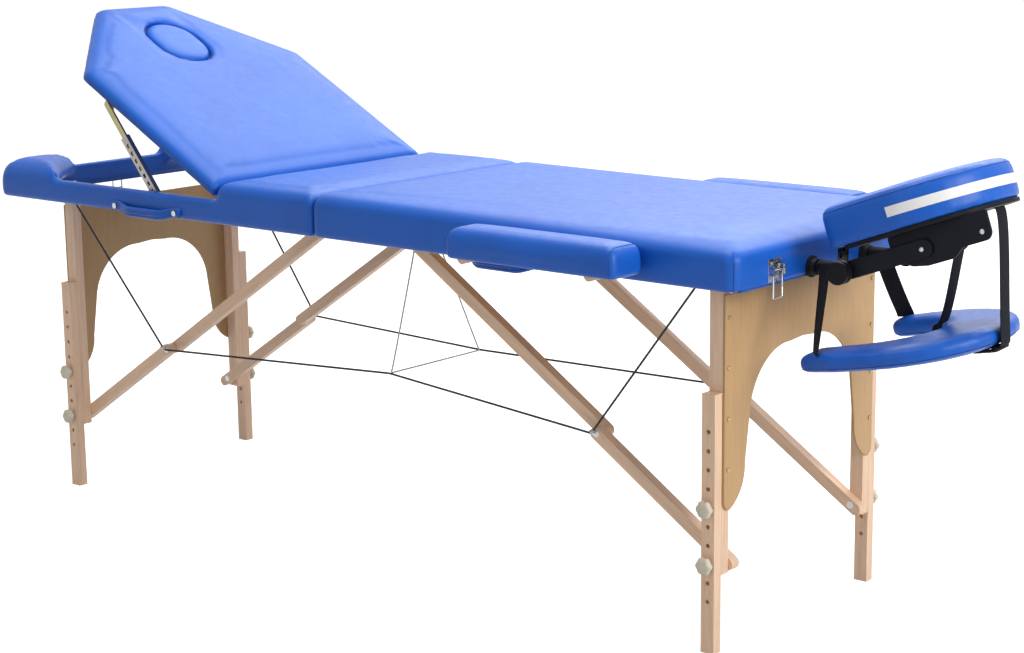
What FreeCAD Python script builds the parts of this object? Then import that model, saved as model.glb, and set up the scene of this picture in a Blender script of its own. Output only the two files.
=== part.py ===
import FreeCAD, Part
import math
import os

V = FreeCAD.Vector

# Driving dimensions in mm. X runs along the table, the fold is at X = 0 until the last step.
HALF_LENGTH = 930.0
WIDTH = 600.0
FRAME_BOTTOM = 620.0
RAIL_H = 45.0
RAIL_T = 18.0
DECK_T = 5.0
CUSHION_T = 35.0
FOLD_GAP = 2.0

# Legs, extensions and end panels
LEG_X = 26.0
LEG_Y = 20.0
LEG_PIVOT_RISE = 18.0
LEG_PIVOT_X = {-1: -798.0, 1: 848.0}
LEG_OUTER_Y = 230.0
LEG_LOW = 132.0
EXT_TOP = 440.0
HOLE_COUNT = 10
HOLE_PITCH = 32.0
FIRST_HOLE = 63.0
KNOB_HOLES = (4, 7)
PANEL_T = 5.0
PANEL_TOP = 650.0
PANEL_TIP = 241.0
ARCH_TOP = 497.0
ARCH_HALF = 162.0
SLIDE_GAP = 0.5

# Folding struts
STRUT_PIVOT_REACH = 756.0
STRUT_PIVOT_RISE = 23.0
STRUT_LOW_DROP = 486.0
STRUT_STOW_TILT = 0.72
STRUT_DEPTH = 22.0
STRUT_T = 20.0
FOOT_DEPTH = 8.0
KNOB_DEPTH = 9.0
BOLT_R = 4.0
HEAD_R = 7.5
HEAD_T = 4.5
FIT = 0.05

# Backrest and its supports
BACK_TILT = 28.5
BACK_X = -273.0
BACK_AXIS_DROP = 4.0
BACK_CORNER = 442.0
BACK_LENGTH = 658.0
BACK_SIDE_GAP = 9.0
BACK_END_HALF = 92.0
BACK_BOARD_T = 6.0
BACK_PAD_T = 28.0
BACK_LIFT = 1.0
PLUG_AT = 500.0
PLUG_LONG = 76.0
PLUG_WIDE = 62.0
SUPPORT_X = -447.0
SUPPORT_RISE = 22.0
SUPPORT_ON_BACK = 366.0
SUPPORT_DROP = 9.0
CHANNEL_LENGTH = 160.0
BAR_LENGTH = 160.0

# Armrests, handles and latches
ARM_X0 = 408.0
ARM_X1 = 766.0
ARM_IN = 312.0
ARM_OUT = 396.0
ARM_TOP = 692.0
ARM_BOARD_T = 7.0
ARM_PEG_X = (437.0, 706.0)
ARM_PEG_RISE = 18.0
ARM_PEG_R = 10.0
HANDLE_X0 = 361.0
HANDLE_X1 = 563.0
LATCH_Y = {-1: 15.0, 1: -190.0}

# Face cradle and arm shelf
PEG_Y = 82.0
PEG_R = 9.0
CRADLE_X = 1000.0
CRADLE_RISE = 14.0
CRADLE_TILT = 20.0
PAD_LENGTH = 254.0
PAD_HALF = 146.0
PAD_T = 58.0
SHELF_X0 = 955.0
SHELF_LENGTH = 288.0
SHELF_HALF = 168.0
SHELF_SLOT = 96.0
SHELF_T = 34.0
SHELF_Z = 511.0
SHELF_PITCH = 11.0
SHELF_ROLL = 3.5
STRAP_Y = -14.0

# Bracing
CABLE_R = 1.6
CORD_R = 1.1
CABLE_LANE = 214.0
CABLE_MID_Y = 132.0
CABLE_MID_Z = 338.0

HALF_W = WIDTH / 2
RAIL_TOP = FRAME_BOTTOM + RAIL_H
DECK_TOP = RAIL_TOP + DECK_T
TABLE_TOP = DECK_TOP + CUSHION_T
PIVOT_Z = FRAME_BOTTOM + LEG_PIVOT_RISE
RAIL_IN = HALF_W - RAIL_T
FOLD_Z = FRAME_BOTTOM - 3.2
EXT_IN = LEG_OUTER_Y + SLIDE_GAP
EXT_OUT = EXT_IN + LEG_Y
LOWER_OUT = LEG_OUTER_Y - LEG_Y - SLIDE_GAP
LOWER_IN = LOWER_OUT - STRUT_T
UPPER_OUT = LOWER_IN - SLIDE_GAP
UPPER_IN = UPPER_OUT - STRUT_T
STRUT_Z = FRAME_BOTTOM + STRUT_PIVOT_RISE
STRUT_HEIGHT = STRUT_Z - PIVOT_Z + STRUT_LOW_DROP
STRUT_SPAN = math.hypot(STRUT_PIVOT_REACH, STRUT_HEIGHT)
STRUT_ANGLE = math.degrees(math.atan2(STRUT_HEIGHT, STRUT_PIVOT_REACH))
HOLE_Z = [EXT_TOP - FIRST_HOLE - HOLE_PITCH * i for i in range(HOLE_COUNT)]
KNOB_Z = [HOLE_Z[i] for i in KNOB_HOLES]
BACK_Z = RAIL_TOP - BACK_AXIS_DROP
CRADLE_Z = FRAME_BOTTOM + CRADLE_RISE

nodes = {}


def strut_lengths():
    """Upper and lower lengths that make the struts straight when open and flat in the tray when stowed."""
    across_gap = STRUT_PIVOT_REACH - STRUT_LOW_DROP
    up_gap = STRUT_Z - PIVOT_Z
    tilt = math.radians(STRUT_STOW_TILT)
    share = STRUT_SPAN - across_gap * math.cos(tilt) + up_gap * math.sin(tilt)
    upper = (STRUT_SPAN ** 2 - across_gap ** 2 - up_gap ** 2) / (2 * share)
    return upper, STRUT_SPAN - upper


UPPER_LENGTH, LOWER_LENGTH = strut_lengths()


# Small helpers
def block(x0, y0, z0, x1, y1, z1):
    """Box from one corner to the opposite one, in any order."""
    low = V(min(x0, x1), min(y0, y1), min(z0, z1))
    return Part.makeBox(abs(x1 - x0), abs(y1 - y0), abs(z1 - z0), low)


def rod(start, end, radius):
    """Round bar between two points."""
    along = end - start
    return Part.makeCylinder(radius, along.Length, start, along)


def across(x, z, y0, y1, radius):
    """Round bar along Y."""
    low = min(y0, y1)
    return Part.makeCylinder(radius, abs(y1 - y0), V(x, low, z), V(0, 1, 0))


def mirrored(shape):
    """The same piece on the other long side."""
    return shape.mirror(V(0, 0, 0), V(0, 1, 0))


def both_sides(shapes):
    """A list of pieces and their mirror images."""
    return list(shapes) + [mirrored(s) for s in shapes]


def turned(shape, x, z, degrees):
    """Copy turned about an axis along Y."""
    out = shape.copy()
    out.rotate(V(x, 0, z), V(0, 1, 0), degrees)
    return out


def add(name, shapes):
    """Keep the solids of one node."""
    nodes[name] = list(shapes)


# Outlines with rounded corners, drawn in by an inset
def inset_corners(points, inset):
    """Corners of an anticlockwise outline moved inward by the inset."""
    out = []
    count = len(points)
    for i in range(count):
        before = points[i - 1]
        here = points[i]
        after = points[(i + 1) % count]
        a = math.atan2(here[1] - before[1], here[0] - before[0])
        b = math.atan2(after[1] - here[1], after[0] - here[0])
        turn = math.sin(b - a)
        na = (-math.sin(a), math.cos(a))
        nb = (-math.sin(b), math.cos(b))
        share = 1.0 + na[0] * nb[0] + na[1] * nb[1]
        x = here[0] + inset * (na[0] + nb[0]) / share
        y = here[1] + inset * (na[1] + nb[1]) / share
        out.append((x, y, turn > 0))
    return out


def outline(points, radii, inset, z):
    """Wire of straight sides and tangent corner arcs at one height."""
    corners = inset_corners(points, inset)
    count = len(corners)
    starts = []
    for i in range(count):
        px, py, _ = corners[i - 1]
        x, y, convex = corners[i]
        qx, qy, _ = corners[(i + 1) % count]
        radius = max(radii[i] - inset, 2.0) if convex else radii[i] + inset
        here = V(x, y, z)
        back = (V(px, py, z) - here).normalize()
        on = (V(qx, qy, z) - here).normalize()
        half = back.getAngle(on) / 2
        reach = radius / math.tan(half)
        middle = (back + on).normalize()
        depth = radius / math.sin(half) - radius
        starts.append((here + back * reach, here + middle * depth, here + on * reach))
    edges = []
    for i in range(count):
        first, mid, last = starts[i]
        edges.append(Part.Arc(first, mid, last).toShape())
        edges.append(Part.makeLine(last, starts[(i + 1) % count][0]))
    return Part.Wire(edges)


def plate(points, radii, z0, z1, inset=0.0):
    """Flat board with rounded corners."""
    face = Part.Face(outline(points, radii, inset, z0))
    return face.extrude(V(0, 0, z1 - z0))


def cushion(points, radii, z0, z1, edge):
    """Padded block with drawn-in foot, full sides and a crowned top."""
    height = z1 - z0
    levels = [
        (z0, 0.20 * edge),
        (z0 + 0.16 * height, 0.02 * edge),
        (z0 + 0.48 * height, 0.0),
        (z0 + 0.76 * height, 0.22 * edge),
        (z0 + 0.93 * height, 0.58 * edge),
        (z1, 1.15 * edge),
    ]
    wires = [outline(points, radii, inset, z) for z, inset in levels]
    return Part.makeLoft(wires, True, True)


def rectangle(x0, x1, half):
    """Anticlockwise corners of a rectangle centred on Y = 0."""
    return [(x0, -half), (x1, -half), (x1, half), (x0, half)]


# Frame of one half
def side_rails(side):
    """Near and far long rails with holes for the pivots and pegs."""
    x0 = side * FOLD_GAP / 2
    rail = block(x0, -HALF_W, FRAME_BOTTOM, side * HALF_LENGTH, -RAIL_IN, RAIL_TOP)
    leg_hole = across(LEG_PIVOT_X[side], PIVOT_Z, -RAIL_IN - 10, -RAIL_IN + 1, BOLT_R + FIT)
    rail = rail.cut(leg_hole)
    if side > 0:
        for x in ARM_PEG_X:
            rail = rail.cut(across(x, peg_z(), -HALF_W - 1, -RAIL_IN + 1, ARM_PEG_R + FIT))
    else:
        hole = across(SUPPORT_X, FRAME_BOTTOM + SUPPORT_RISE, -RAIL_IN - 10, -RAIL_IN + 1, 3 + FIT)
        rail = rail.cut(hole)
    return both_sides([rail])


def cross_rails(side):
    """End rail, fold rail, strut pivot blocks and, on the left, the hinge rail."""
    end = side * HALF_LENGTH
    inner = end - side * RAIL_T
    end_rail = block(inner, -RAIL_IN, FRAME_BOTTOM, end, RAIL_IN, RAIL_TOP)
    if side > 0:
        for y in (-PEG_Y, PEG_Y):
            bore = rod(V(inner - 1, y, CRADLE_Z), V(end + 1, y, CRADLE_Z), PEG_R + FIT)
            end_rail = end_rail.cut(bore)
    fold = side * FOLD_GAP / 2
    fold_rail = block(fold, -RAIL_IN, FRAME_BOTTOM, fold + side * RAIL_T, RAIL_IN, RAIL_TOP)
    rails = [end_rail, fold_rail]
    x = strut_pivot_x(side)
    pivot_block = block(x - 18, -LOWER_OUT, FRAME_BOTTOM + 6, x + 18, -UPPER_OUT - 1, RAIL_TOP)
    pivot_block = pivot_block.cut(across(x, STRUT_Z, -LOWER_OUT - 1, -UPPER_OUT, BOLT_R + FIT))
    rails += both_sides([pivot_block])
    if side < 0:
        x0 = BACK_X + 5
        rails.append(block(x0, -RAIL_IN, RAIL_TOP - 7, x0 + 45, RAIL_IN, RAIL_TOP))
    return rails


def strut_pivot_x(side):
    """Where the upper strut hangs from the frame."""
    return LEG_PIVOT_X[side] - side * STRUT_PIVOT_REACH


def pivot_bolts(side):
    """Bolts and spacers that carry the legs, the struts and the backrest supports."""
    x = LEG_PIVOT_X[side]
    head_y = -(LEG_OUTER_Y - LEG_Y - SLIDE_GAP)
    bolt = across(x, PIVOT_Z, head_y, -RAIL_IN - 9.5, BOLT_R)
    bolt = bolt.fuse(across(x, PIVOT_Z, head_y + 5, head_y, 8))
    spacer = across(x, PIVOT_Z, -EXT_IN, -RAIL_IN + 0.1, 8)
    spacer = spacer.cut(across(x, PIVOT_Z, -EXT_IN + 1, -RAIL_IN - 1, BOLT_R + FIT))
    out = [bolt, spacer]
    x = strut_pivot_x(side)
    stud = across(x, STRUT_Z, -UPPER_IN + SLIDE_GAP, -LOWER_OUT, BOLT_R)
    stud = stud.fuse(across(x, STRUT_Z, -UPPER_IN + 5.5, -UPPER_IN + SLIDE_GAP, 8))
    out.append(stud)
    if side < 0:
        z = FRAME_BOTTOM + SUPPORT_RISE
        pin = across(SUPPORT_X, z, -266.5, -RAIL_IN - 9.5, 3)
        pin = pin.fuse(across(SUPPORT_X, z, -269.0, -265.5, 6))
        out.append(pin)
    return both_sides(out)


# Top coverings
def seat_points():
    """Outline of the short seat between the backrest hinge and the fold."""
    return rectangle(BACK_X + 11, -FOLD_GAP / 2, HALF_W)


def main_points():
    """Outline of the long right-hand cushion."""
    return rectangle(FOLD_GAP / 2, HALF_LENGTH, HALF_W)


def corner_points():
    """Triangular filling beside the chamfered backrest, with a hollow inner edge."""
    return [
        (-HALF_LENGTH, -HALF_W),
        (-733.0, -HALF_W),
        (-820.0, -226.0),
        (-HALF_LENGTH, -102.0),
    ]


def corner_pads():
    """The two padded corner pieces on the left end."""
    pad = cushion(corner_points(), [30, 10, 60, 12], RAIL_TOP, TABLE_TOP, 16)
    return both_sides([pad])


# Handles, latches and hinges
def handle(side):
    """Strap handle on the near rail, bowed out and hanging a little."""
    bow = 10.0 if side < 0 else 20.0
    sag = 8.0 if side < 0 else 18.0
    thick = 7.0
    stations = [
        (0.0, 0.0, 0.0),
        (0.12, 0.0, 0.0),
        (0.24, 0.75, 0.5),
        (0.38, 1.0, 0.92),
        (0.5, 1.0, 1.0),
    ]
    stations += [(1.0 - s, b, d) for s, b, d in reversed(stations[:-1])]
    wires = []
    for share, out, down in stations:
        x = side * (HANDLE_X0 + share * (HANDLE_X1 - HANDLE_X0))
        y = -HALF_W - bow * out
        z = FRAME_BOTTOM + 12 - sag * down
        corners = [V(x, y, z - 8), V(x, y - thick, z - 7), V(x, y - thick, z + 7), V(x, y, z + 8)]
        wires.append(Part.makePolygon(corners + corners[:1]))
    strap = Part.makeLoft(wires, True, True)
    for x in handle_screw_x(side):
        strap = strap.cut(across(x, FRAME_BOTTOM + 12, -HALF_W - 10, -HALF_W + 1, 2.5))
    return [strap]


def handle_screw_x(side):
    """The two screw places of a handle."""
    return [side * (HANDLE_X0 + 12), side * (HANDLE_X1 - 12)]


def fittings(side):
    """Handle screws, draw-latch plate with its lever, and the catch for the other half."""
    out = []
    for x in handle_screw_x(side):
        z = FRAME_BOTTOM + 12
        screw = across(x, z, -HALF_W - 10, -HALF_W, 2.4)
        screw = screw.fuse(across(x, z, -HALF_W - 10, -HALF_W - 7, 5.5))
        out.append(screw)
    end = side * HALF_LENGTH
    y = LATCH_Y[side]
    base = block(end, y - 18, FRAME_BOTTOM + 4, end + side * 2, y + 18, RAIL_TOP - 3)
    face = end + side * 2
    low = FRAME_BOTTOM + 16
    for cheek in (y - 17.5, y + 14.5):
        base = base.fuse(block(face, cheek, low, end + side * 12, cheek + 3, low + 16))
    base = base.cut(across(end + side * 8, FRAME_BOTTOM + 24, y - 20, y + 20, 1.5 + FIT))
    lever = block(face, y - 10, FRAME_BOTTOM + 10, end + side * 5, y + 10, RAIL_TOP - 8)
    out.append(base.fuse(lever).removeSplitter())
    y = LATCH_Y[-side]
    catch = block(end, y - 16, FRAME_BOTTOM + 6, face, y + 16, FRAME_BOTTOM + 32)
    hook = block(face, y - 9, FRAME_BOTTOM + 14, end + side * 4, y + 9, FRAME_BOTTOM + 24)
    out.append(catch.fuse(hook).removeSplitter())
    return out


def latch_loop(side):
    """Wire loop that hangs from the latch and hooks the other half when closed."""
    x = side * (HALF_LENGTH + 8)
    y = LATCH_Y[side]
    top = FRAME_BOTTOM + 24
    low = FRAME_BOTTOM - 20
    wire = across(x, top, y - 17, y + 17, 1.5)
    for end in (y - 12.5, y + 12.5):
        wire = wire.fuse(rod(V(x, end, top), V(x, end, low), 1.5))
        wire = wire.fuse(Part.makeSphere(1.5, V(x, end, low)))
    return [wire.fuse(across(x, low, y - 12.5, y + 12.5, 1.5))]


FOLD_HINGES = (-190.0, 0.0, 190.0)
BACK_HINGES = (-125.0, 0.0, 125.0)


def fold_leaves(side):
    """Leaves under the fold rails with their knuckles."""
    out = []
    for y in FOLD_HINGES:
        leaf = block(side * 3.4, y - 30, FRAME_BOTTOM - 1.4, side * 19, y + 30, FRAME_BOTTOM)
        spans = [(-30, -10.3), (10.3, 30)] if side < 0 else [(-10, 10)]
        for low, high in spans:
            knuckle = across(0, FOLD_Z, y + low, y + high, 3.0)
            neck = block(0, y + low, FRAME_BOTTOM - 1.4, side * 4, y + high, FRAME_BOTTOM - 0.3)
            leaf = leaf.fuse(knuckle.fuse(neck))
        cut_from = [(-10.3, 10.3)] if side < 0 else [(-30, -10), (10, 30)]
        for low, high in cut_from:
            leaf = leaf.cut(block(0, y + low, FRAME_BOTTOM - 8, side * 4.2, y + high, FRAME_BOTTOM))
        out.append(leaf.cut(across(0, FOLD_Z, y - 31, y + 31, 1.5 + FIT)).removeSplitter())
    return out


def fold_pins():
    """Pins of the fold hinges."""
    return [across(0, FOLD_Z, y - 30, y + 30, 1.5) for y in FOLD_HINGES]


def back_fixed_leaves():
    """Hinge leaves and pins on the face of the hinge rail."""
    out = []
    for y in BACK_HINGES:
        leaf = block(BACK_X + 3.5, y - 28, BACK_Z - 3, BACK_X + 5, y + 28, BACK_Z + 2)
        leaf = leaf.fuse(across(BACK_X, BACK_Z, y - 28, y + 28, 1.5))
        for low, high in ((-28, -10), (10, 28)):
            leaf = leaf.fuse(across(BACK_X, BACK_Z, y + low, y + high, 3.6))
        out.append(leaf.removeSplitter())
    return out


# Backrest, built lying flat and then raised
def raised(shape):
    """A backrest piece turned up to the angle of the photograph."""
    return turned(shape, BACK_X, BACK_Z, BACK_TILT)


def back_points(start):
    """Six-sided backrest outline from the hinge to the chamfered end."""
    half = HALF_W - BACK_SIDE_GAP
    return [
        (BACK_X - BACK_LENGTH, -BACK_END_HALF),
        (BACK_X - BACK_CORNER, -half),
        (BACK_X - start, -half),
        (BACK_X - start, half),
        (BACK_X - BACK_CORNER, half),
        (BACK_X - BACK_LENGTH, BACK_END_HALF),
    ]


def plug_points(grow):
    """Oval of the face hole as a rounded box."""
    x = BACK_X - PLUG_AT
    long = PLUG_LONG + grow
    wide = PLUG_WIDE + grow
    return [(x - long, -wide), (x + long, -wide), (x + long, wide), (x - long, wide)]


def plug_radii(grow):
    """Corner radii that make the box nearly an oval."""
    return [PLUG_WIDE + grow - 1.0] * 4


BOARD_Z0 = RAIL_TOP + BACK_LIFT
BOARD_Z1 = BOARD_Z0 + BACK_BOARD_T
BACK_RADII = [35, 35, 20, 20, 35, 35]


def backrest_board():
    """Stiff board under the backrest pad with the face hole."""
    board = plate(back_points(4), [20, 20, 6, 6, 20, 20], BOARD_Z0, BOARD_Z1, 3.0)
    hole = plate(plug_points(2.0), plug_radii(2.0), BOARD_Z0 - 1, BOARD_Z1 + 1)
    return [raised(board.cut(hole))]


def backrest_pad():
    """Padded top of the backrest, sloped back at the hinge, with the face hole."""
    pad = cushion(back_points(6), BACK_RADII, BOARD_Z1, BOARD_Z1 + BACK_PAD_T, 22)
    hole = plate(plug_points(2.0), plug_radii(2.0), BOARD_Z1 - 1, BOARD_Z1 + BACK_PAD_T + 5)
    slope = block(BACK_X, -HALF_W, BACK_Z, BACK_X + 160, HALF_W, BACK_Z + 200)
    slope = turned(slope, BACK_X, BACK_Z, -BACK_TILT)
    return [raised(pad.cut(hole).cut(slope))]


def face_plug():
    """Padded oval plug that lifts out of the face hole."""
    plug = cushion(plug_points(0.0), plug_radii(0.0), BOARD_Z0, BOARD_Z1 + BACK_PAD_T + 1, 9)
    return [raised(plug)]


def back_brackets():
    """Moving hinge leaves and the brackets that take the supports."""
    out = []
    for y in BACK_HINGES:
        leaf = block(BACK_X - 34, y - 9.7, BOARD_Z0 - 1.5, BACK_X - 1, y + 9.7, BOARD_Z0)
        leaf = leaf.fuse(across(BACK_X, BACK_Z, y - 9.7, y + 9.7, 3.2))
        leaf = leaf.fuse(block(BACK_X - 2.4, y - 9.7, BACK_Z, BACK_X + 0.5, y + 9.7, BOARD_Z0 - 0.2))
        out.append(leaf.cut(across(BACK_X, BACK_Z, y - 10, y + 10, 1.5 + FIT)).removeSplitter())
    x = BACK_X - SUPPORT_ON_BACK
    z = BACK_Z - SUPPORT_DROP
    for sign in (-1, 1):
        ear = block(x - 14, sign * 266, z - 9, x + 14, sign * 269, BOARD_Z0)
        foot = block(x - 24, sign * 244, BOARD_Z0 - 2.5, x + 24, sign * 269, BOARD_Z0)
        pin = across(x, z, sign * 266, sign * 272, 2.5)
        out.append(ear.fuse(foot).fuse(pin).removeSplitter())
    return [raised(s) for s in out]


def support_span(tilt):
    """Length and angle of the support at one backrest angle."""
    t = math.radians(tilt)
    x = BACK_X - SUPPORT_ON_BACK * math.cos(t) - SUPPORT_DROP * math.sin(t)
    z = BACK_Z + SUPPORT_ON_BACK * math.sin(t) - SUPPORT_DROP * math.cos(t)
    dx = SUPPORT_X - x
    dz = z - (FRAME_BOTTOM + SUPPORT_RISE)
    return math.hypot(dx, dz), math.degrees(math.atan2(dz, dx))


def support_channels():
    """Perforated channels hinged on the side rails."""
    z = FRAME_BOTTOM + SUPPORT_RISE
    x = SUPPORT_X
    web = block(x + 9, -280.5, z - 9, x - CHANNEL_LENGTH, -279, z + 9)
    for edge in (-9.0, 7.5):
        web = web.fuse(block(x + 9, -280.5, z + edge, x - CHANNEL_LENGTH, -270, z + edge + 1.5))
    web = web.cut(across(x, z, -283, -268, 3 + FIT))
    for i in range(7):
        px = x - 30 - 18.0 * i
        web = web.cut(block(px - 4.5, -283, z - 3.5, px + 4.5, -278, z + 3.5))
    _, angle = support_span(BACK_TILT)
    return both_sides([turned(web.removeSplitter(), x, z, angle)])


def support_bars():
    """Bars that slide out of the channels and end at the backrest brackets."""
    z = FRAME_BOTTOM + SUPPORT_RISE
    reach, angle = support_span(BACK_TILT)
    end = SUPPORT_X - reach
    bar = block(end, -278, z - 6.5, end + BAR_LENGTH, -273, z + 6.5)
    bar = bar.fuse(across(end, z, -278, -273, 6.5)).removeSplitter()
    return both_sides([turned(bar, SUPPORT_X, z, angle)])


# Legs of one half
def leg_bars(side):
    """Near and far upper legs with pivot, strut and knob holes."""
    x = LEG_PIVOT_X[side]
    inner = LEG_OUTER_Y - LEG_Y
    leg = block(x - LEG_X / 2, -LEG_OUTER_Y, LEG_LOW, x + LEG_X / 2, -inner, PIVOT_Z)
    leg = leg.fuse(across(x, PIVOT_Z, -LEG_OUTER_Y, -inner, LEG_X / 2)).removeSplitter()
    leg = leg.cut(across(x, PIVOT_Z, -LEG_OUTER_Y - 1, -inner + 1, BOLT_R + FIT))
    leg = leg.cut(across(x, PIVOT_Z - STRUT_LOW_DROP, -inner - FOOT_DEPTH - 0.5, -inner + 1, BOLT_R + FIT))
    for z in KNOB_Z:
        leg = leg.cut(across(x, z, -LEG_OUTER_Y - 1, -LEG_OUTER_Y + KNOB_DEPTH + 0.5, 3.4 + FIT))
    return both_sides([leg])


def extension(side, sign):
    """Leg extension with its row of height holes."""
    x = LEG_PIVOT_X[side]
    ext = block(x - LEG_X / 2, sign * EXT_IN, 0, x + LEG_X / 2, sign * EXT_OUT, EXT_TOP)
    for z in HOLE_Z:
        ext = ext.cut(across(x, z, sign * (EXT_IN - 1), sign * (EXT_OUT + 1), 4.0))
    return [ext]


def knobs(side, z):
    """Lobed clamping knobs with their bolts, near and far."""
    x = LEG_PIVOT_X[side]
    face = -EXT_OUT
    knob = across(x, z, face - 0.4, face - 5, 7.5)
    knob = knob.fuse(across(x, z, face - 5, face - 16.5, 10.5))
    for i in range(6):
        a = math.radians(60 * i)
        lobe = across(x + 9.5 * math.cos(a), z + 9.5 * math.sin(a), face - 5, face - 16.5, 4.2)
        knob = knob.fuse(lobe)
    knob = knob.fuse(across(x, z, face - 1, -LEG_OUTER_Y + KNOB_DEPTH, 3.4))
    return both_sides([knob.removeSplitter()])


def end_panel(side):
    """Plywood panel across the outer faces of the legs with its arch."""
    half = LEG_OUTER_Y
    face_x = LEG_PIVOT_X[side] + side * LEG_X / 2
    corners = [
        (half, PANEL_TOP),
        (half, PANEL_TIP + 16),
        (half - 16, PANEL_TIP),
        (170, 312),
        (ARCH_HALF - 4, 392),
        (40, ARCH_TOP - 3),
        (0, ARCH_TOP),
    ]
    middles = [None, (half - 4.5, PANEL_TIP + 4.5), (188, 260), None, (118, 468), None]
    edges = []
    for i, middle in enumerate(middles):
        start = V(face_x, *corners[i])
        end = V(face_x, *corners[i + 1])
        if middle is None:
            edges.append(Part.makeLine(start, end))
        else:
            edges.append(Part.Arc(start, V(face_x, *middle), end).toShape())
    edges += [mirrored(e) for e in reversed(edges)]
    edges.append(Part.makeLine(V(face_x, -half, PANEL_TOP), V(face_x, half, PANEL_TOP)))
    wire = Part.Wire(Part.sortEdges(edges)[0])
    return [Part.Face(wire).extrude(V(side * PANEL_T, 0, 0))]


def panel_screws(side):
    """Round-headed screws along both edges of the end panel."""
    face_x = LEG_PIVOT_X[side] + side * (LEG_X / 2 + PANEL_T)
    out = []
    for z in (563.0, 480.0, 395.0, 310.0):
        out.append(Part.makeCylinder(4.2, 1.8, V(face_x, -220, z), V(side, 0, 0)))
    return both_sides(out)


# Folding struts of one half
def strut_bar(x, length, outer, side):
    """Round-ended wooden bar that runs level from one place toward the table's end."""
    z = STRUT_Z
    far = x + side * length
    bar = block(x, -outer, z - STRUT_DEPTH / 2, far, -outer + STRUT_T, z + STRUT_DEPTH / 2)
    for end in (x, far):
        bar = bar.fuse(across(end, z, -outer, -outer + STRUT_T, STRUT_DEPTH / 2))
    return bar.removeSplitter()


def upper_struts(side):
    """Upper struts from the frame pivot down to the middle joint."""
    x = strut_pivot_x(side)
    bar = strut_bar(x, UPPER_LENGTH, UPPER_OUT, side)
    bar = bar.cut(across(x, STRUT_Z, -UPPER_OUT - 1, -UPPER_IN + 1, BOLT_R + FIT))
    return both_sides([turned(bar, x, STRUT_Z, side * STRUT_ANGLE)])


def lower_struts(side):
    """Lower struts from the middle joint down to the leg."""
    x = strut_pivot_x(side)
    start = x + side * UPPER_LENGTH
    bar = strut_bar(start, LOWER_LENGTH + 12, LOWER_OUT, side)
    end = start + side * LOWER_LENGTH
    for px in (start, end):
        bar = bar.cut(across(px, STRUT_Z, -LOWER_OUT - 1, -LOWER_IN + 1, BOLT_R + FIT))
    bar = bar.cut(across(start, STRUT_Z, -LOWER_OUT - 1, -LOWER_OUT + HEAD_T, HEAD_R + FIT))
    bar = bar.cut(across(end, STRUT_Z, -LOWER_IN - HEAD_T, -LOWER_IN + 1, HEAD_R + FIT))
    return both_sides([turned(bar, x, STRUT_Z, side * STRUT_ANGLE)])


def strut_bolts(side):
    """Sunk bolts of the leg joint and of the middle joint, carried by the lower struts."""
    x = strut_pivot_x(side)
    start = x + side * UPPER_LENGTH
    knee = across(start, STRUT_Z, -LOWER_IN - 0.1, -LOWER_OUT + HEAD_T, BOLT_R)
    knee = knee.fuse(across(start, STRUT_Z, -LOWER_OUT + HEAD_T, -LOWER_OUT + 0.2, HEAD_R))
    end = start + side * LOWER_LENGTH
    inner = LEG_OUTER_Y - LEG_Y
    foot = across(end, STRUT_Z, -LOWER_IN - HEAD_T, -inner - FOOT_DEPTH, BOLT_R)
    foot = foot.fuse(across(end, STRUT_Z, -LOWER_IN - HEAD_T, -LOWER_IN - 0.2, HEAD_R))
    return both_sides([turned(s, x, STRUT_Z, side * STRUT_ANGLE) for s in (knee, foot)])


def knee_point(side):
    """Middle of the strut joint as X and Z."""
    a = math.radians(STRUT_ANGLE)
    x = strut_pivot_x(side) + side * UPPER_LENGTH * math.cos(a)
    return x, STRUT_Z - UPPER_LENGTH * math.sin(a)


# Armrests
def peg_z():
    """Height of the armrest pegs."""
    return FRAME_BOTTOM + ARM_PEG_RISE


def arm_points(sign):
    """Outline of an armrest."""
    low, high = sorted((sign * ARM_IN, sign * ARM_OUT))
    return [(ARM_X0, low), (ARM_X1, low), (ARM_X1, high), (ARM_X0, high)]


def arm_pad(sign):
    """Padded top of an armrest."""
    return [cushion(arm_points(sign), [16] * 4, peg_z() + 3 + ARM_BOARD_T, ARM_TOP, 12)]


def arm_frame(sign):
    """Board under the armrest with two round pegs let into it that plug into the side rail."""
    z = peg_z()
    top = z + 3 + ARM_BOARD_T
    frame = plate(arm_points(sign), [14] * 4, z + 3, top, 4.0)
    for x in ARM_PEG_X:
        peg = across(x, z, sign * (RAIL_IN - 7), sign * (ARM_OUT - 14), ARM_PEG_R)
        frame = frame.fuse(peg.cut(block(x - 20, sign * 200, top, x + 20, sign * 500, top + 20)))
    return [frame.removeSplitter()]


# Face cradle, built level and then tilted up
def cradle_tilted(shape):
    """A cradle-head piece turned up to the angle of the photograph."""
    return turned(shape, CRADLE_X, CRADLE_Z, -CRADLE_TILT)


def cradle_sockets():
    """Flanged bushes on the end rail."""
    out = []
    for y in (-PEG_Y, PEG_Y):
        start = V(HALF_LENGTH, y, CRADLE_Z)
        bush = rod(start, start + V(5, 0, 0), 18).fuse(rod(start, start + V(14, 0, 0), 13.5))
        out.append(bush.cut(rod(start - V(1, 0, 0), start + V(15, 0, 0), PEG_R + FIT)).removeSplitter())
    return out


def cradle_base():
    """Two pegs joined by a cross tube, with the tilt axle through their ends."""
    frame = across(CRADLE_X - 20, CRADLE_Z, -PEG_Y, PEG_Y, 7)
    for y in (-PEG_Y, PEG_Y):
        frame = frame.fuse(rod(V(HALF_LENGTH - 24, y, CRADLE_Z), V(CRADLE_X + 12, y, CRADLE_Z), PEG_R))
    return [frame.fuse(across(CRADLE_X, CRADLE_Z, -PEG_Y - 18, PEG_Y + 18, BOLT_R)).removeSplitter()]


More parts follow.
